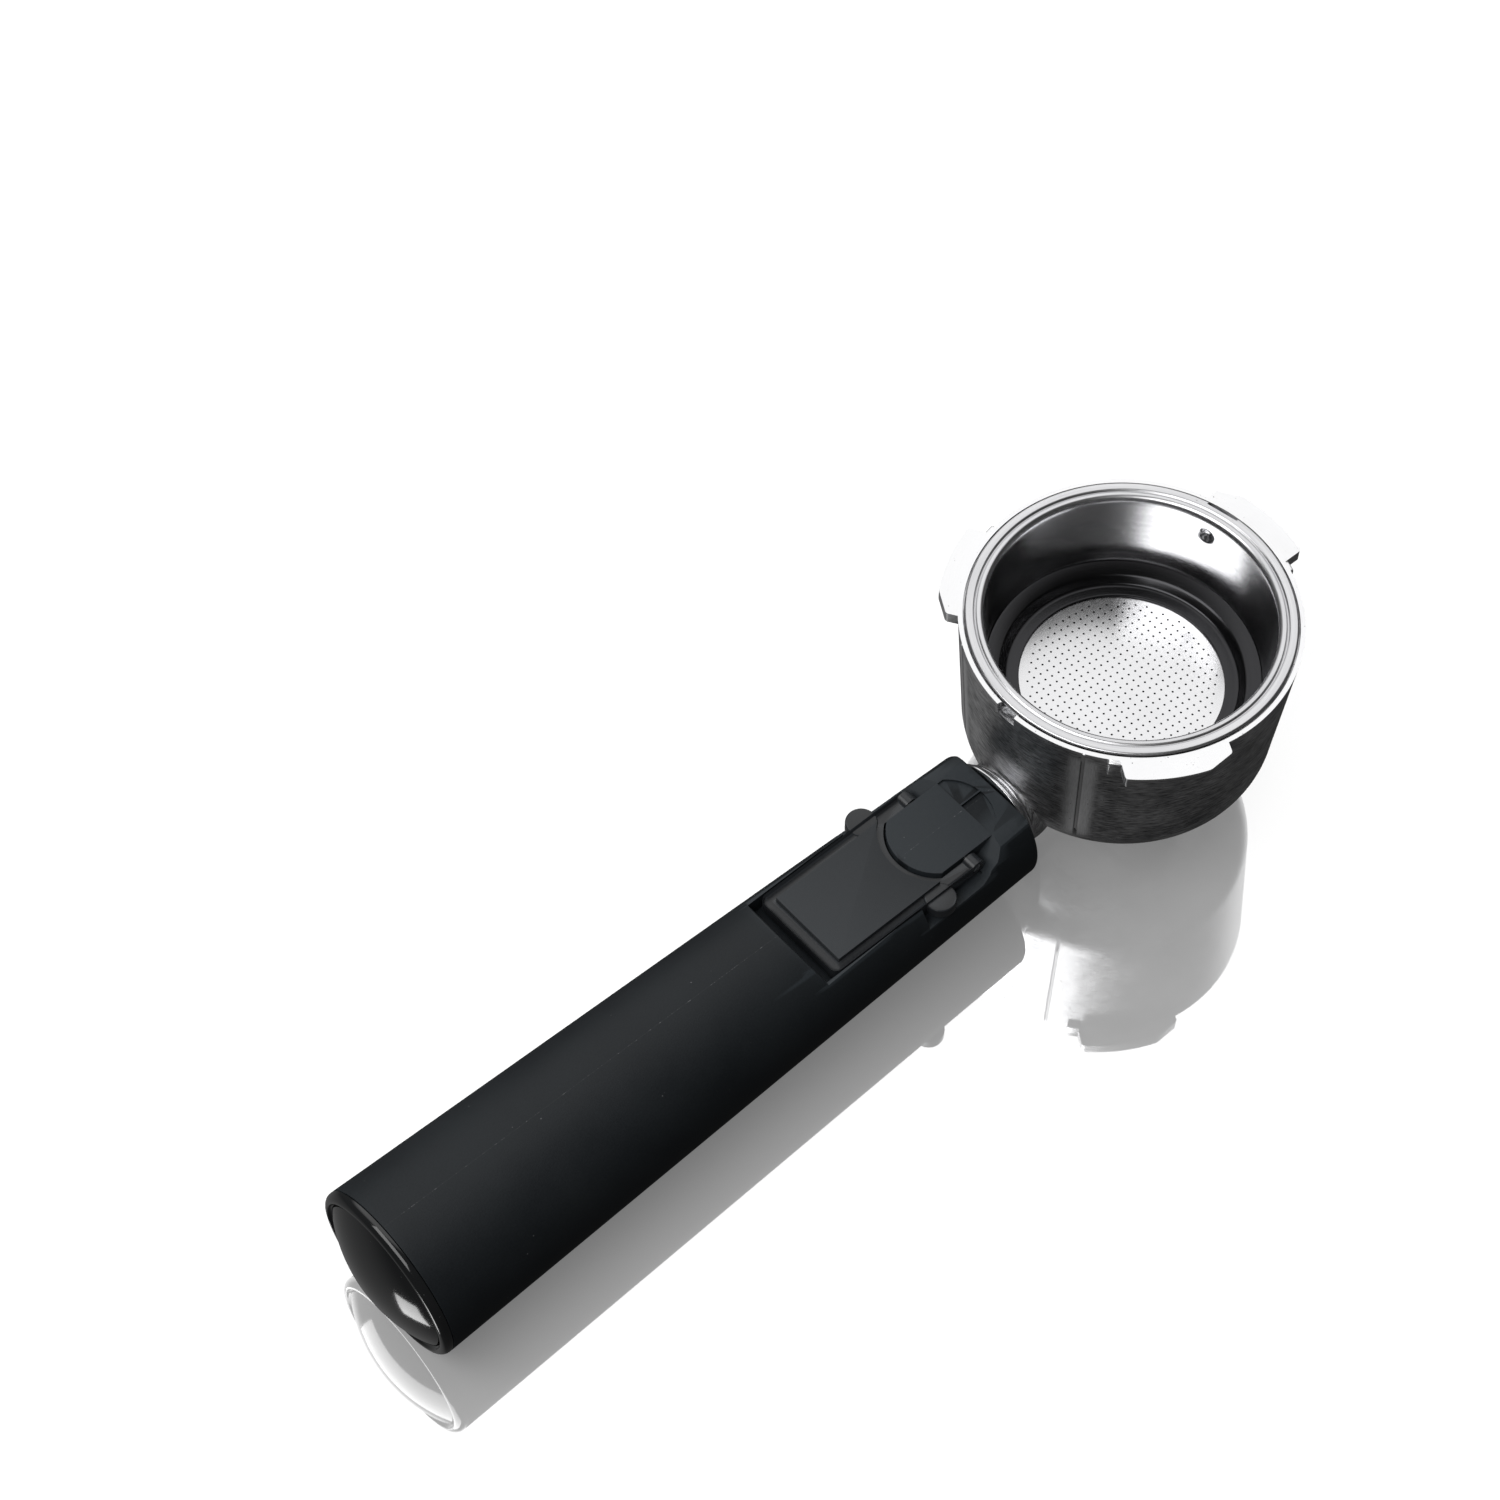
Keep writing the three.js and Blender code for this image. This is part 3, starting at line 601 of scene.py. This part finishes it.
plate = bmesh.new()
bmesh.ops.create_circle(plate, segments=128, radius=FLOOR_R)
row = math.radians(HOLE_ROWS)
for i in range(-14, 15):
    for j in range(-14, 15):
        u, v = i * HOLE_PITCH + HOLE_START[0], j * HOLE_PITCH + HOLE_START[1]
        if math.hypot(u, v) < 17.7:
            hole = bmesh.ops.create_circle(plate, segments=12, radius=HOLE_R)["verts"]
            bmesh.ops.translate(plate, verts=hole, vec=(
                u * math.cos(row) - v * math.sin(row), u * math.sin(row) + v * math.cos(row), 0))
bmesh.ops.triangle_fill(plate, use_beauty=True, use_dissolve=False, edges=plate.edges[:])
lower = bmesh.ops.extrude_face_region(plate, geom=plate.faces[:])["geom"]
bmesh.ops.translate(plate, vec=(0, 0, -0.5), verts=[v for v in lower
                                                    if isinstance(v, bmesh.types.BMVert)])
bmesh.ops.recalc_face_normals(plate, faces=plate.faces[:])
bmesh.ops.translate(plate, vec=(0, 0, 29.25), verts=plate.verts[:])
piece(plate, "perforated_floor", punched_steel_finish(), "basket", "basket_steel", "basket_floor")

# ---------------------------------------------------------------- double spout
# A moulded block under the cup splits the stream between two short nozzles. The hollow outlet
# bolt holds it up against the cup's bottom.

NOZZLE_Y = 12
NOZZLE_R = 3.4
SPOUT_HALF = 17.5
SPOUT_END_R = 7.5


def cross_bar(radius, half, centre, steps=48):
    """A round bar that lies across the handle."""
    bm = lathe([(0, -half), (radius, -half), (radius, half), (0, half)], steps)
    bmesh.ops.rotate(bm, verts=bm.verts[:], cent=(0, 0, 0),
                     matrix=Matrix.Rotation(math.pi / 2, 3, "X"))
    bmesh.ops.translate(bm, verts=bm.verts[:], vec=centre)
    return bm


spout_moulding = moulded_finish("spout_moulding", (0.016, 0.016, 0.017), (0.034, 0.034, 0.036),
                                0.42)
spout = slab(arc(0, SPOUT_HALF - SPOUT_END_R, SPOUT_END_R, 0, 180, 24)
             + arc(0, SPOUT_END_R - SPOUT_HALF, SPOUT_END_R, 180, 360, 24), 0, 10.2)
shoulders = raise_face(bmesh.new(), [(-9, y, z) for y, z in [
    (-SPOUT_HALF - 1, -1), (SPOUT_HALF + 1, -1), *arc(SPOUT_HALF - 6.2, 4, 6.2, 0, 90, 16),
    *arc(6.2 - SPOUT_HALF, 4, 6.2, 90, 180, 16)]], (18, 0, 0))
nozzles = [slab(arc(0, side * NOZZLE_Y, NOZZLE_R, 0, 352.5, 47), -1, 6.4) for side in (-1, 1)]
waist = [raise_face(bmesh.new(), [(side * 6.2, y, -1) for y in (-7.2, 7.2)]
                    + [(side * 6.2, y, 2.6) for y in (5.6, -5.6)], (side * 3, 0, 0))
         for side in (-1, 1)]
channel = cross_bar(2, NOZZLE_Y, (0, 0, 4.6))
bolt_bore = slab(arc(0, 0, BOLT_HOLE_R, 0, 352.5, 47), 5.2, 12)
spout = worked(spout, ("INTERSECT", shoulders), ("DIFFERENCE", together(*waist)),
               ("DIFFERENCE", together(*nozzles)), ("DIFFERENCE", channel),
               ("DIFFERENCE", bolt_bore))
piece(spout, "double_spout", spout_moulding, "holder", "spout_plastic", "spout_body", edge=0.35,
      segments=3)

# ---------------------------------------------------------------- neck ferrule
# A turned and chromed collar in two steps covers the joint between the cup's neck and the grip.


def chrome_finish():
    finish, shader = new_finish("ferrule_chrome", 1.0)
    where = round_the_axis(finish, True)
    lines = tool_marks(finish, where, 3.0, 6000.0)
    cloud = noise(finish, where[0], 260.0, 3.0)
    colour = mixed(finish, ranged(finish, cloud, 0.35, 0.65), (0.72, 0.72, 0.735),
                   (0.86, 0.86, 0.87))
    rough = ranged(finish, sum_of(finish, "ADD", lines, cloud), 0.6, 1.4, 0.07, 0.2)
    wire(finish, shader, colour, rough, lines, 0.00001, 0.35)
    return finish


ferrule = onto_handle(lathe([
    (6.8, 29.8), (8.9, 29.8, 0.12), (9.35, 30.1, 0.12), (9.4, 30.5, 0.1), (9.1, 30.62, 0.05),
    (9.1, 30.74, 0.05), (9.7, 30.85, 0.1), (10.35, 31.25, 0.25), (10.5, 31.8, 0.15),
    (10.4, 32.1, 0.1), (6.8, 32.1)], 128, 3))
piece(ferrule, "ferrule", chrome_finish(), "holder", "ferrule_chrome", "neck_ferrule")

# ---------------------------------------------------------------- grip
# The round handle is one black moulding, wider towards its end, with a soft matt skin and a faint
# mould line. A steel stud from the cup runs through it, to a nut in the bore at the far end.

GRIP_FRONT = 32.4
GRIP_END = 171.6
FLAT_TOP = 26
BED_FLOOR = 21.8
BED_END = 82.3
BED_HALF = 10.5
BLOCK_FRONT = 39.4
BLOCK_HALF = 7.3
RAMP_FOOT = 43.4
OUTER_RAMP_FOOT = 48
POCKET_END = 59.5
BLOCK_NOSE = (46.5, 0)
PIVOT = (45.5, 24.2)
DISH_CENTRE = (43.05, -0.3)
DISH_R = 8.5
DISH_DEPTH = 0.6
SKY = 38  # above everything, where cutters end


def grip_radius(x):
    return 12 + 0.028 * x


def grip_finish():
    finish = moulded_finish("soft_black", (0.011, 0.0135, 0.016), (0.018, 0.0215, 0.0245), 0.56,
                            3200.0, level=0.26, shine=0.6)
    nodes = finish.node_tree.nodes
    shader = nodes["Principled BSDF"]
    place = add(finish, "TexCoord", {}).outputs["Object"]
    across = vector_of(finish, "DOT_PRODUCT", place, (0, 1, 0), out="Value")
    seam = ranged(finish, sum_of(finish, "ABSOLUTE", across), 0.00009, 0.00003)
    broken = ranged(finish, noise(finish, place, 900.0, 3.0, 0.7), 0.54, 0.68)
    trace = sum_of(finish, "MULTIPLY", seam, sum_of(finish, "MULTIPLY_ADD", broken, 0.45, 0.02))
    skin = shader.inputs["Base Color"].links[0].from_socket
    finish.node_tree.links.new(mixed(finish, trace, skin, (0.3, 0.3, 0.31)),
                               shader.inputs["Base Color"])
    return finish


soft_black = grip_finish()
skin = [(grip_radius(x), x) for x in [*range(34, 90, 4), *range(94, 170, 12)]]
body = onto_handle(lathe([(0, GRIP_FRONT), (grip_radius(33), GRIP_FRONT, 0.45), *skin,
                          (grip_radius(GRIP_END), GRIP_END, 0.12), (0, GRIP_END)], 160))
bores = together(onto_handle(lathe([
    (0, 31), (6.7, 31), (6.7, 36.3), (STUD_HOLE_R, 36.3), (STUD_HOLE_R, 150), (9, 150), (9, 175),
    (0, 175)], 72)))
# the flat top and the bed both end in a wall that leans back
flat = raise_face(bmesh.new(), [(x, -20, z) for x, z in (
    (20, FLAT_TOP), (BED_END, FLAT_TOP), (BED_END + 5, SKY), (20, SKY))], (0, 40, 0))
nose = math.degrees(math.asin(BLOCK_HALF / 9))
bed = raise_face(bmesh.new(), [(x, -BED_HALF, z) for x, z in (
    (BLOCK_NOSE[0] - 2, BED_FLOOR), (BED_END - 1.7, BED_FLOOR), (BED_END, FLAT_TOP),
    (BED_END + 5, SKY), (BLOCK_NOSE[0] - 2, SKY))], (0, 2 * BED_HALF, 0))
pockets, strips = [], []
for hand in (-1, 1):
    # beside the block the bed opens to the side, and a ramp runs up from it to the flat top
    pocket = raise_face(bmesh.new(), [(x, hand * (BLOCK_HALF - 1), z) for x, z in (
        (BLOCK_FRONT, FLAT_TOP), (RAMP_FOOT, BED_FLOOR), (POCKET_END, BED_FLOOR),
        (POCKET_END, SKY), (BLOCK_FRONT, SKY))], (0, hand * 10.7, 0))
    for vert in pocket.verts:
        if abs(vert.co.y) > BED_HALF and abs(vert.co.x - RAMP_FOOT) < 0.1:
            vert.co.x = OUTER_RAMP_FOOT
    pockets.append(pocket)
    strips.append(raise_face(bmesh.new(), [(30, hand * y, z) for y, z in (
        (7.7, FLAT_TOP + 0.02), (10.2, FLAT_TOP - 0.55), (14, SKY), (7.7, SKY))], (10.5, 0, 0)))
block = slab([(BLOCK_FRONT - 12, -BLOCK_HALF), *arc(*BLOCK_NOSE, 9, -nose, nose, 32),
              (BLOCK_FRONT - 12, BLOCK_HALF)], BED_FLOOR - 2, HANDLE_Z + 22)
bed = worked(bed, ("UNION", together(*pockets)), ("DIFFERENCE", block))
# the thumb dish in front of the block has a deep half and a half that slopes up to its edge
deep = [c for c in arc(*DISH_CENTRE, DISH_R, 90, 270, 90)
        if c[0] < BLOCK_FRONT and abs(c[1]) < BLOCK_HALF]
halves = []
for side, kept, fall in ((-1, [c for c in deep if c[1] < -1.0], 0.02),
                         (1, [c for c in deep if c[1] > -1.1], 0.065)):
    along = sorted(kept, key=lambda c: c[1])
    half = slab([*along, (BLOCK_FRONT, along[-1][1]), (BLOCK_FRONT, along[0][1])],
                FLAT_TOP - DISH_DEPTH, FLAT_TOP + 1)
    for vert in half.verts:
        if vert.co.z < FLAT_TOP:
            vert.co.z += fall * abs(vert.co.y + 1.05)
    halves.append(half)
pin_hole = cross_bar(1.05, 8.3, (PIVOT[0], 0, PIVOT[1]), 32)
cutters = [bores, flat, bed, together(*strips), *halves, pin_hole]
grip = worked(body, *[("DIFFERENCE", cutter) for cutter in cutters])
piece(grip, "grip", soft_black, "holder", "grip_plastic", "handle_grip", sharp=24, edge=0.22)
dress(handle_steel, "handle_stud", "grip_washer", "grip_lock_washer", "grip_nut")

# ---------------------------------------------------------------- clamp lever
# The lever lies in its bed on the grip and flips over the basket's flange to hold it while the
# grounds are knocked out. It is a satin moulding on a steel pin, with a matt pad let into it.

LEVER_LOW = 23.2
LEVER_TOP = 26
LEVER_END = 80
LEVER_HALF = 10.2
FORK_HALF = 7.65
FORK_R = 9.4
PAD_HALF = 8.4
PAD_END = 77.5
PAD_DEPTH = 1.05
lever_moulding = moulded_finish("lever_moulding", (0.012, 0.0135, 0.0155), (0.019, 0.021, 0.0235),
                                0.36, 2600.0, coat=0.15, level=0.45, shine=0.35)
pad_moulding = moulded_finish("pad_moulding", (0.015, 0.017, 0.019), (0.024, 0.0265, 0.029), 0.62,
                              5200.0, level=0.28, shine=0.9)


def pad_outline(margin):
    """The pad's plan, drawn in by a margin from the recess it lies in."""
    radius = 10.6 + margin
    half = math.degrees(math.asin((PAD_HALF - margin) / radius))
    return [*arc(*BLOCK_NOSE, radius, half, -half, 32), (PAD_END - margin, margin - PAD_HALF),
            (PAD_END - margin, PAD_HALF - margin)]


frame_plate = bmesh.new()
corner = 1.6
ends = [*arc(LEVER_END - corner, corner - LEVER_HALF, corner, -90, 0, 8),
        *arc(LEVER_END - corner, LEVER_HALF - corner, corner, 0, 90, 8)]
raise_face(frame_plate, [(x, y, LEVER_LOW) for x, y in [(40, -LEVER_HALF), *ends,
                                                         (40, LEVER_HALF)]],
           (0, 0, LEVER_TOP - LEVER_LOW))
# its top edge is rounded down in steps, from the pad's border to the sides
for inset, fall in ((0.35, 0.62), (0.45, 0.27), (0.55, 0.1)):
    top = [f for f in frame_plate.faces if f.normal.z > 0.95]
    rim = {v for f in top for v in f.verts}
    bmesh.ops.inset_region(frame_plate, faces=top, thickness=inset, use_even_offset=True)
    low_rim = [v for v in frame_plate.verts if v in rim or v.tag]
    for vert in low_rim:
        vert.tag = True
    bmesh.ops.translate(frame_plate, verts=low_rim, vec=(0, 0, -fall))
    frame_plate.normal_update()
# the fork goes round the block, and its two arms end at the pin
side = math.degrees(math.asin(FORK_HALF / FORK_R))
opening = slab([(30, -FORK_HALF), *arc(*BLOCK_NOSE, FORK_R, -side, side, 32), (30, FORK_HALF)],
               LEVER_LOW - 1, LEVER_TOP + 1)
front = together(box(30, PIVOT[0], -12, -FORK_HALF, LEVER_LOW - 1, LEVER_TOP + 1),
                 box(30, PIVOT[0], FORK_HALF, 12, LEVER_LOW - 1, LEVER_TOP + 1))
wings, eyes = [], []
for hand in (-1, 1):
    disc = slab(arc(55, hand * 10.5, 3, 0, 350, 35), LEVER_LOW, LEVER_TOP - 0.6)
    round_edges(disc, top_edges(disc, 25), 0.35)
    keep = box(50, 60, 7.9, 20, 20, 30) if hand > 0 else box(50, 60, -20, -7.9, 20, 30)
    wings.append(worked(disc, ("INTERSECT", keep)))
    eyes.append(cross_bar(1.75, 1.175, (PIVOT[0], hand * 8.825, PIVOT[1])))
lever = worked(frame_plate, ("DIFFERENCE", opening), ("DIFFERENCE", front),
               ("UNION", together(*wings)), ("UNION", together(*eyes)),
               ("DIFFERENCE", slab(pad_outline(0), LEVER_TOP - PAD_DEPTH, LEVER_TOP + 1)),
               ("DIFFERENCE", cross_bar(1.1, 14, (PIVOT[0], 0, PIVOT[1]))))
piece(lever, "lever", lever_moulding, "lever", "lever_plastic", "lever_frame", sharp=24,
      edge=0.08)
piece(slab(pad_outline(0.04), LEVER_TOP - 0.9, LEVER_TOP), "lever_top_pad", pad_moulding,
      "lever", "pad_plastic", "lever_pad", edge=0.03)
dress(upright_steel, "lever_pin")

# ---------------------------------------------------------------- end ring and end cap
# A rounded gloss ring closes the grip's end round a low gloss dome, whose plug is pressed into
# the nut's bore.


def gloss_finish():
    finish, shader = new_finish("gloss_black", 0.0, Specular_IOR_Level=0.5, Coat_Weight=0.3,
                                Coat_Roughness=0.05)
    place = add(finish, "TexCoord", {}).outputs["Object"]
    cloud = noise(finish, place, 60.0, 3.0)
    colour = mixed(finish, cloud, (0.008, 0.0085, 0.009), (0.0155, 0.0165, 0.0175))
    dust = specks(finish, place, 900.0, 0.08, 0.04, 240.0, 0.56, 0.60)
    colour = mixed(finish, sum_of(finish, "MULTIPLY", dust, 0.5), colour, (0.3, 0.3, 0.31))
    swirl = noise(finish, vector_of(finish, "MULTIPLY", place, (700, 2600, 5200)), 1.0, 2.0)
    rough = ranged(finish, sum_of(finish, "ADD", swirl, cloud), 0.6, 1.4, 0.06, 0.15)
    rough = sum_of(finish, "MULTIPLY_ADD", dust, 0.4, rough)
    wire(finish, shader, colour, rough, sum_of(finish, "MULTIPLY_ADD", dust, 0.8, cloud),
         0.00003, 0.08)
    return finish


gloss_black = gloss_finish()
RING_IN = 14.8
RING_START = 171.75
ring_out = grip_radius(GRIP_END)
ring = onto_handle(lathe([(RING_IN, RING_START), (ring_out, RING_START, 0.1),
                          (ring_out, 173.5, 1.35), (15.3, 173.55, 0.2), (15.05, 173.1, 0.12),
                          (RING_IN, 172.9)], 160, 6))
piece(ring, "end_rim", gloss_black, "holder", "end_gloss", "end_ring")
CAP_R = 14.5
CAP_EDGE = 173.2
DOME_END = 177
dome_high = DOME_END - CAP_EDGE
dome_ball = (CAP_R ** 2 + dome_high ** 2) / (2 * dome_high)
dome_turn = math.degrees(math.asin(CAP_R / dome_ball))
dome = [(r, x) for x, r in arc(DOME_END - dome_ball, 0, dome_ball, dome_turn, 0, 24)]
cap = onto_handle(lathe([(0, 164), (8.6, 164, 0.4), (8.6, 171.9), (CAP_R, 171.9, 0.2),
                         *dome[:-1], (0, DOME_END)], 160))
piece(cap, "end_dome", gloss_black, "holder", "end_gloss", "end_cap")

# ---------------------------------------------------------------- studio
# A white table with a light polish stands in a dark room that is bright behind the cup and above.
# A soft light hangs over the handle, and a window below the table's level shows in gloss only.


def studio_world():
    """A sky that is bright behind the object and dark low down, so that metal shows both."""
    world = bpy.data.worlds.new("studio")
    bpy.context.scene.world = world
    world.use_nodes = True
    nodes, links = world.node_tree.nodes, world.node_tree.links
    nodes.clear()
    coordinates = nodes.new("ShaderNodeTexCoord")
    parts = nodes.new("ShaderNodeSeparateXYZ")
    links.new(coordinates.outputs["Generated"], parts.inputs[0])
    ramp = nodes.new("ShaderNodeValToRGB")
    stops = ((0.0, 0.04), (0.46, 0.05), (0.5, 0.06), (0.6, 0.05), (0.80, 0.04), (1.0, 0.06))
    shift = nodes.new("ShaderNodeMapRange")
    shift.inputs["From Min"].default_value = -1.0
    links.new(parts.outputs[2], shift.inputs[0])
    links.new(shift.outputs[0], ramp.inputs[0])
    while len(ramp.color_ramp.elements) < len(stops):
        ramp.color_ramp.elements.new(0.5)
    for element, (at, level) in zip(ramp.color_ramp.elements, stops):
        element.position, element.color = at, (level, level, level, 1)
    total = ramp.outputs[0]
    for toward, near, far, level in (((-0.48, -0.52, 0.72), 0.86, 0.62, 1.12),
                                     ((0.40, -0.58, -0.70), 0.95, 0.62, 0.16)):
        facing = nodes.new("ShaderNodeVectorMath")
        facing.operation = "DOT_PRODUCT"
        facing.inputs[1].default_value = Vector(toward).normalized()
        links.new(coordinates.outputs["Generated"], facing.inputs[0])
        soft = nodes.new("ShaderNodeMapRange")
        soft.interpolation_type = "SMOOTHSTEP"
        for socket, value in zip(("From Min", "From Max", "To Max"), (far, near, level)):
            soft.inputs[socket].default_value = value
        links.new(facing.outputs["Value"], soft.inputs[0])
        both = nodes.new("ShaderNodeVectorMath")
        both.operation = "MAXIMUM"
        links.new(total, both.inputs[0])
        links.new(soft.outputs[0], both.inputs[1])
        total = both.outputs[0]
    sky = nodes.new("ShaderNodeBackground")
    links.new(total, sky.inputs[0])
    white = nodes.new("ShaderNodeBackground")
    white.inputs[0].default_value = (1, 1, 1, 1)
    seen = nodes.new("ShaderNodeLightPath")
    choose = nodes.new("ShaderNodeMixShader")
    links.new(seen.outputs["Is Camera Ray"], choose.inputs[0])
    links.new(sky.outputs[0], choose.inputs[1])
    links.new(white.outputs[0], choose.inputs[2])
    end = nodes.new("ShaderNodeOutputWorld")
    links.new(choose.outputs[0], end.inputs[0])


studio_world()
bpy.context.scene.view_settings.view_transform = "Standard"

table = bpy.data.meshes.new("table")
top_face = bmesh.new()
bmesh.ops.create_grid(top_face, x_segments=1, y_segments=1, size=3.0)
top_face.to_mesh(table)
top_face.free()
floor = bpy.data.objects.new("table", table)
bpy.context.scene.collection.objects.link(floor)
polished, _ = new_finish("white_table", 0.0)
matt = add(polished, "BsdfDiffuse", {"Color": (0.92, 0.92, 0.92, 1)})
glow = add(polished, "Emission", {"Color": (1, 1, 1, 1), "Strength": 0.42})
gloss = add(polished, "BsdfAnisotropic", {"Color": (1, 1, 1, 1), "Roughness": 0.02})
lit = add(polished, "AddShader", {0: matt.outputs[0], 1: glow.outputs[0]})
blend = add(polished, "MixShader", {0: 0.62, 1: lit.outputs[0], 2: gloss.outputs[0]})
polished.node_tree.links.new(blend.outputs[0],
                             polished.node_tree.nodes["Material Output"].inputs[0])
table.materials.append(polished)
floor.visible_glossy = floor.visible_diffuse = floor.visible_shadow = False


def softbox(name, place, aim, width, height, level):
    """A soft rectangular light, level being how bright its face is."""
    lamp = bpy.data.lights.new(name, "AREA")
    lamp.shape, lamp.size, lamp.size_y = "RECTANGLE", width, height
    lamp.energy = level * math.pi * width * height
    made = bpy.data.objects.new(name, lamp)
    bpy.context.scene.collection.objects.link(made)
    made.location = place
    made.rotation_euler = (Vector(aim) - Vector(place)).to_track_quat("-Z", "Y").to_euler()


softbox("over_handle", (0.56, -0.02, 0.74), (0, 0, 0.03), 0.95, 0.5, 3.0)
softbox("window_in_table", (0.64, -0.04, -0.52), (0.1, 0, 0.02), 0.13, 0.19, 4.0)

camera = bpy.data.objects.new("camera", bpy.data.cameras.new("camera"))
bpy.context.scene.collection.objects.link(camera)
camera.data.lens, camera.data.sensor_width = 85, 36
camera.data.clip_start, camera.data.clip_end = 0.01, 20
right, up = Vector((-0.7524, 0.6587, 0.0005)), Vector((-0.5498, -0.6285, 0.5503))
camera.matrix_world = Matrix.Translation((0.2952, 0.2329, 0.5669)) @ Matrix(
    (right, up, right.cross(up))).transposed().to_4x4()
bpy.context.scene.camera = camera
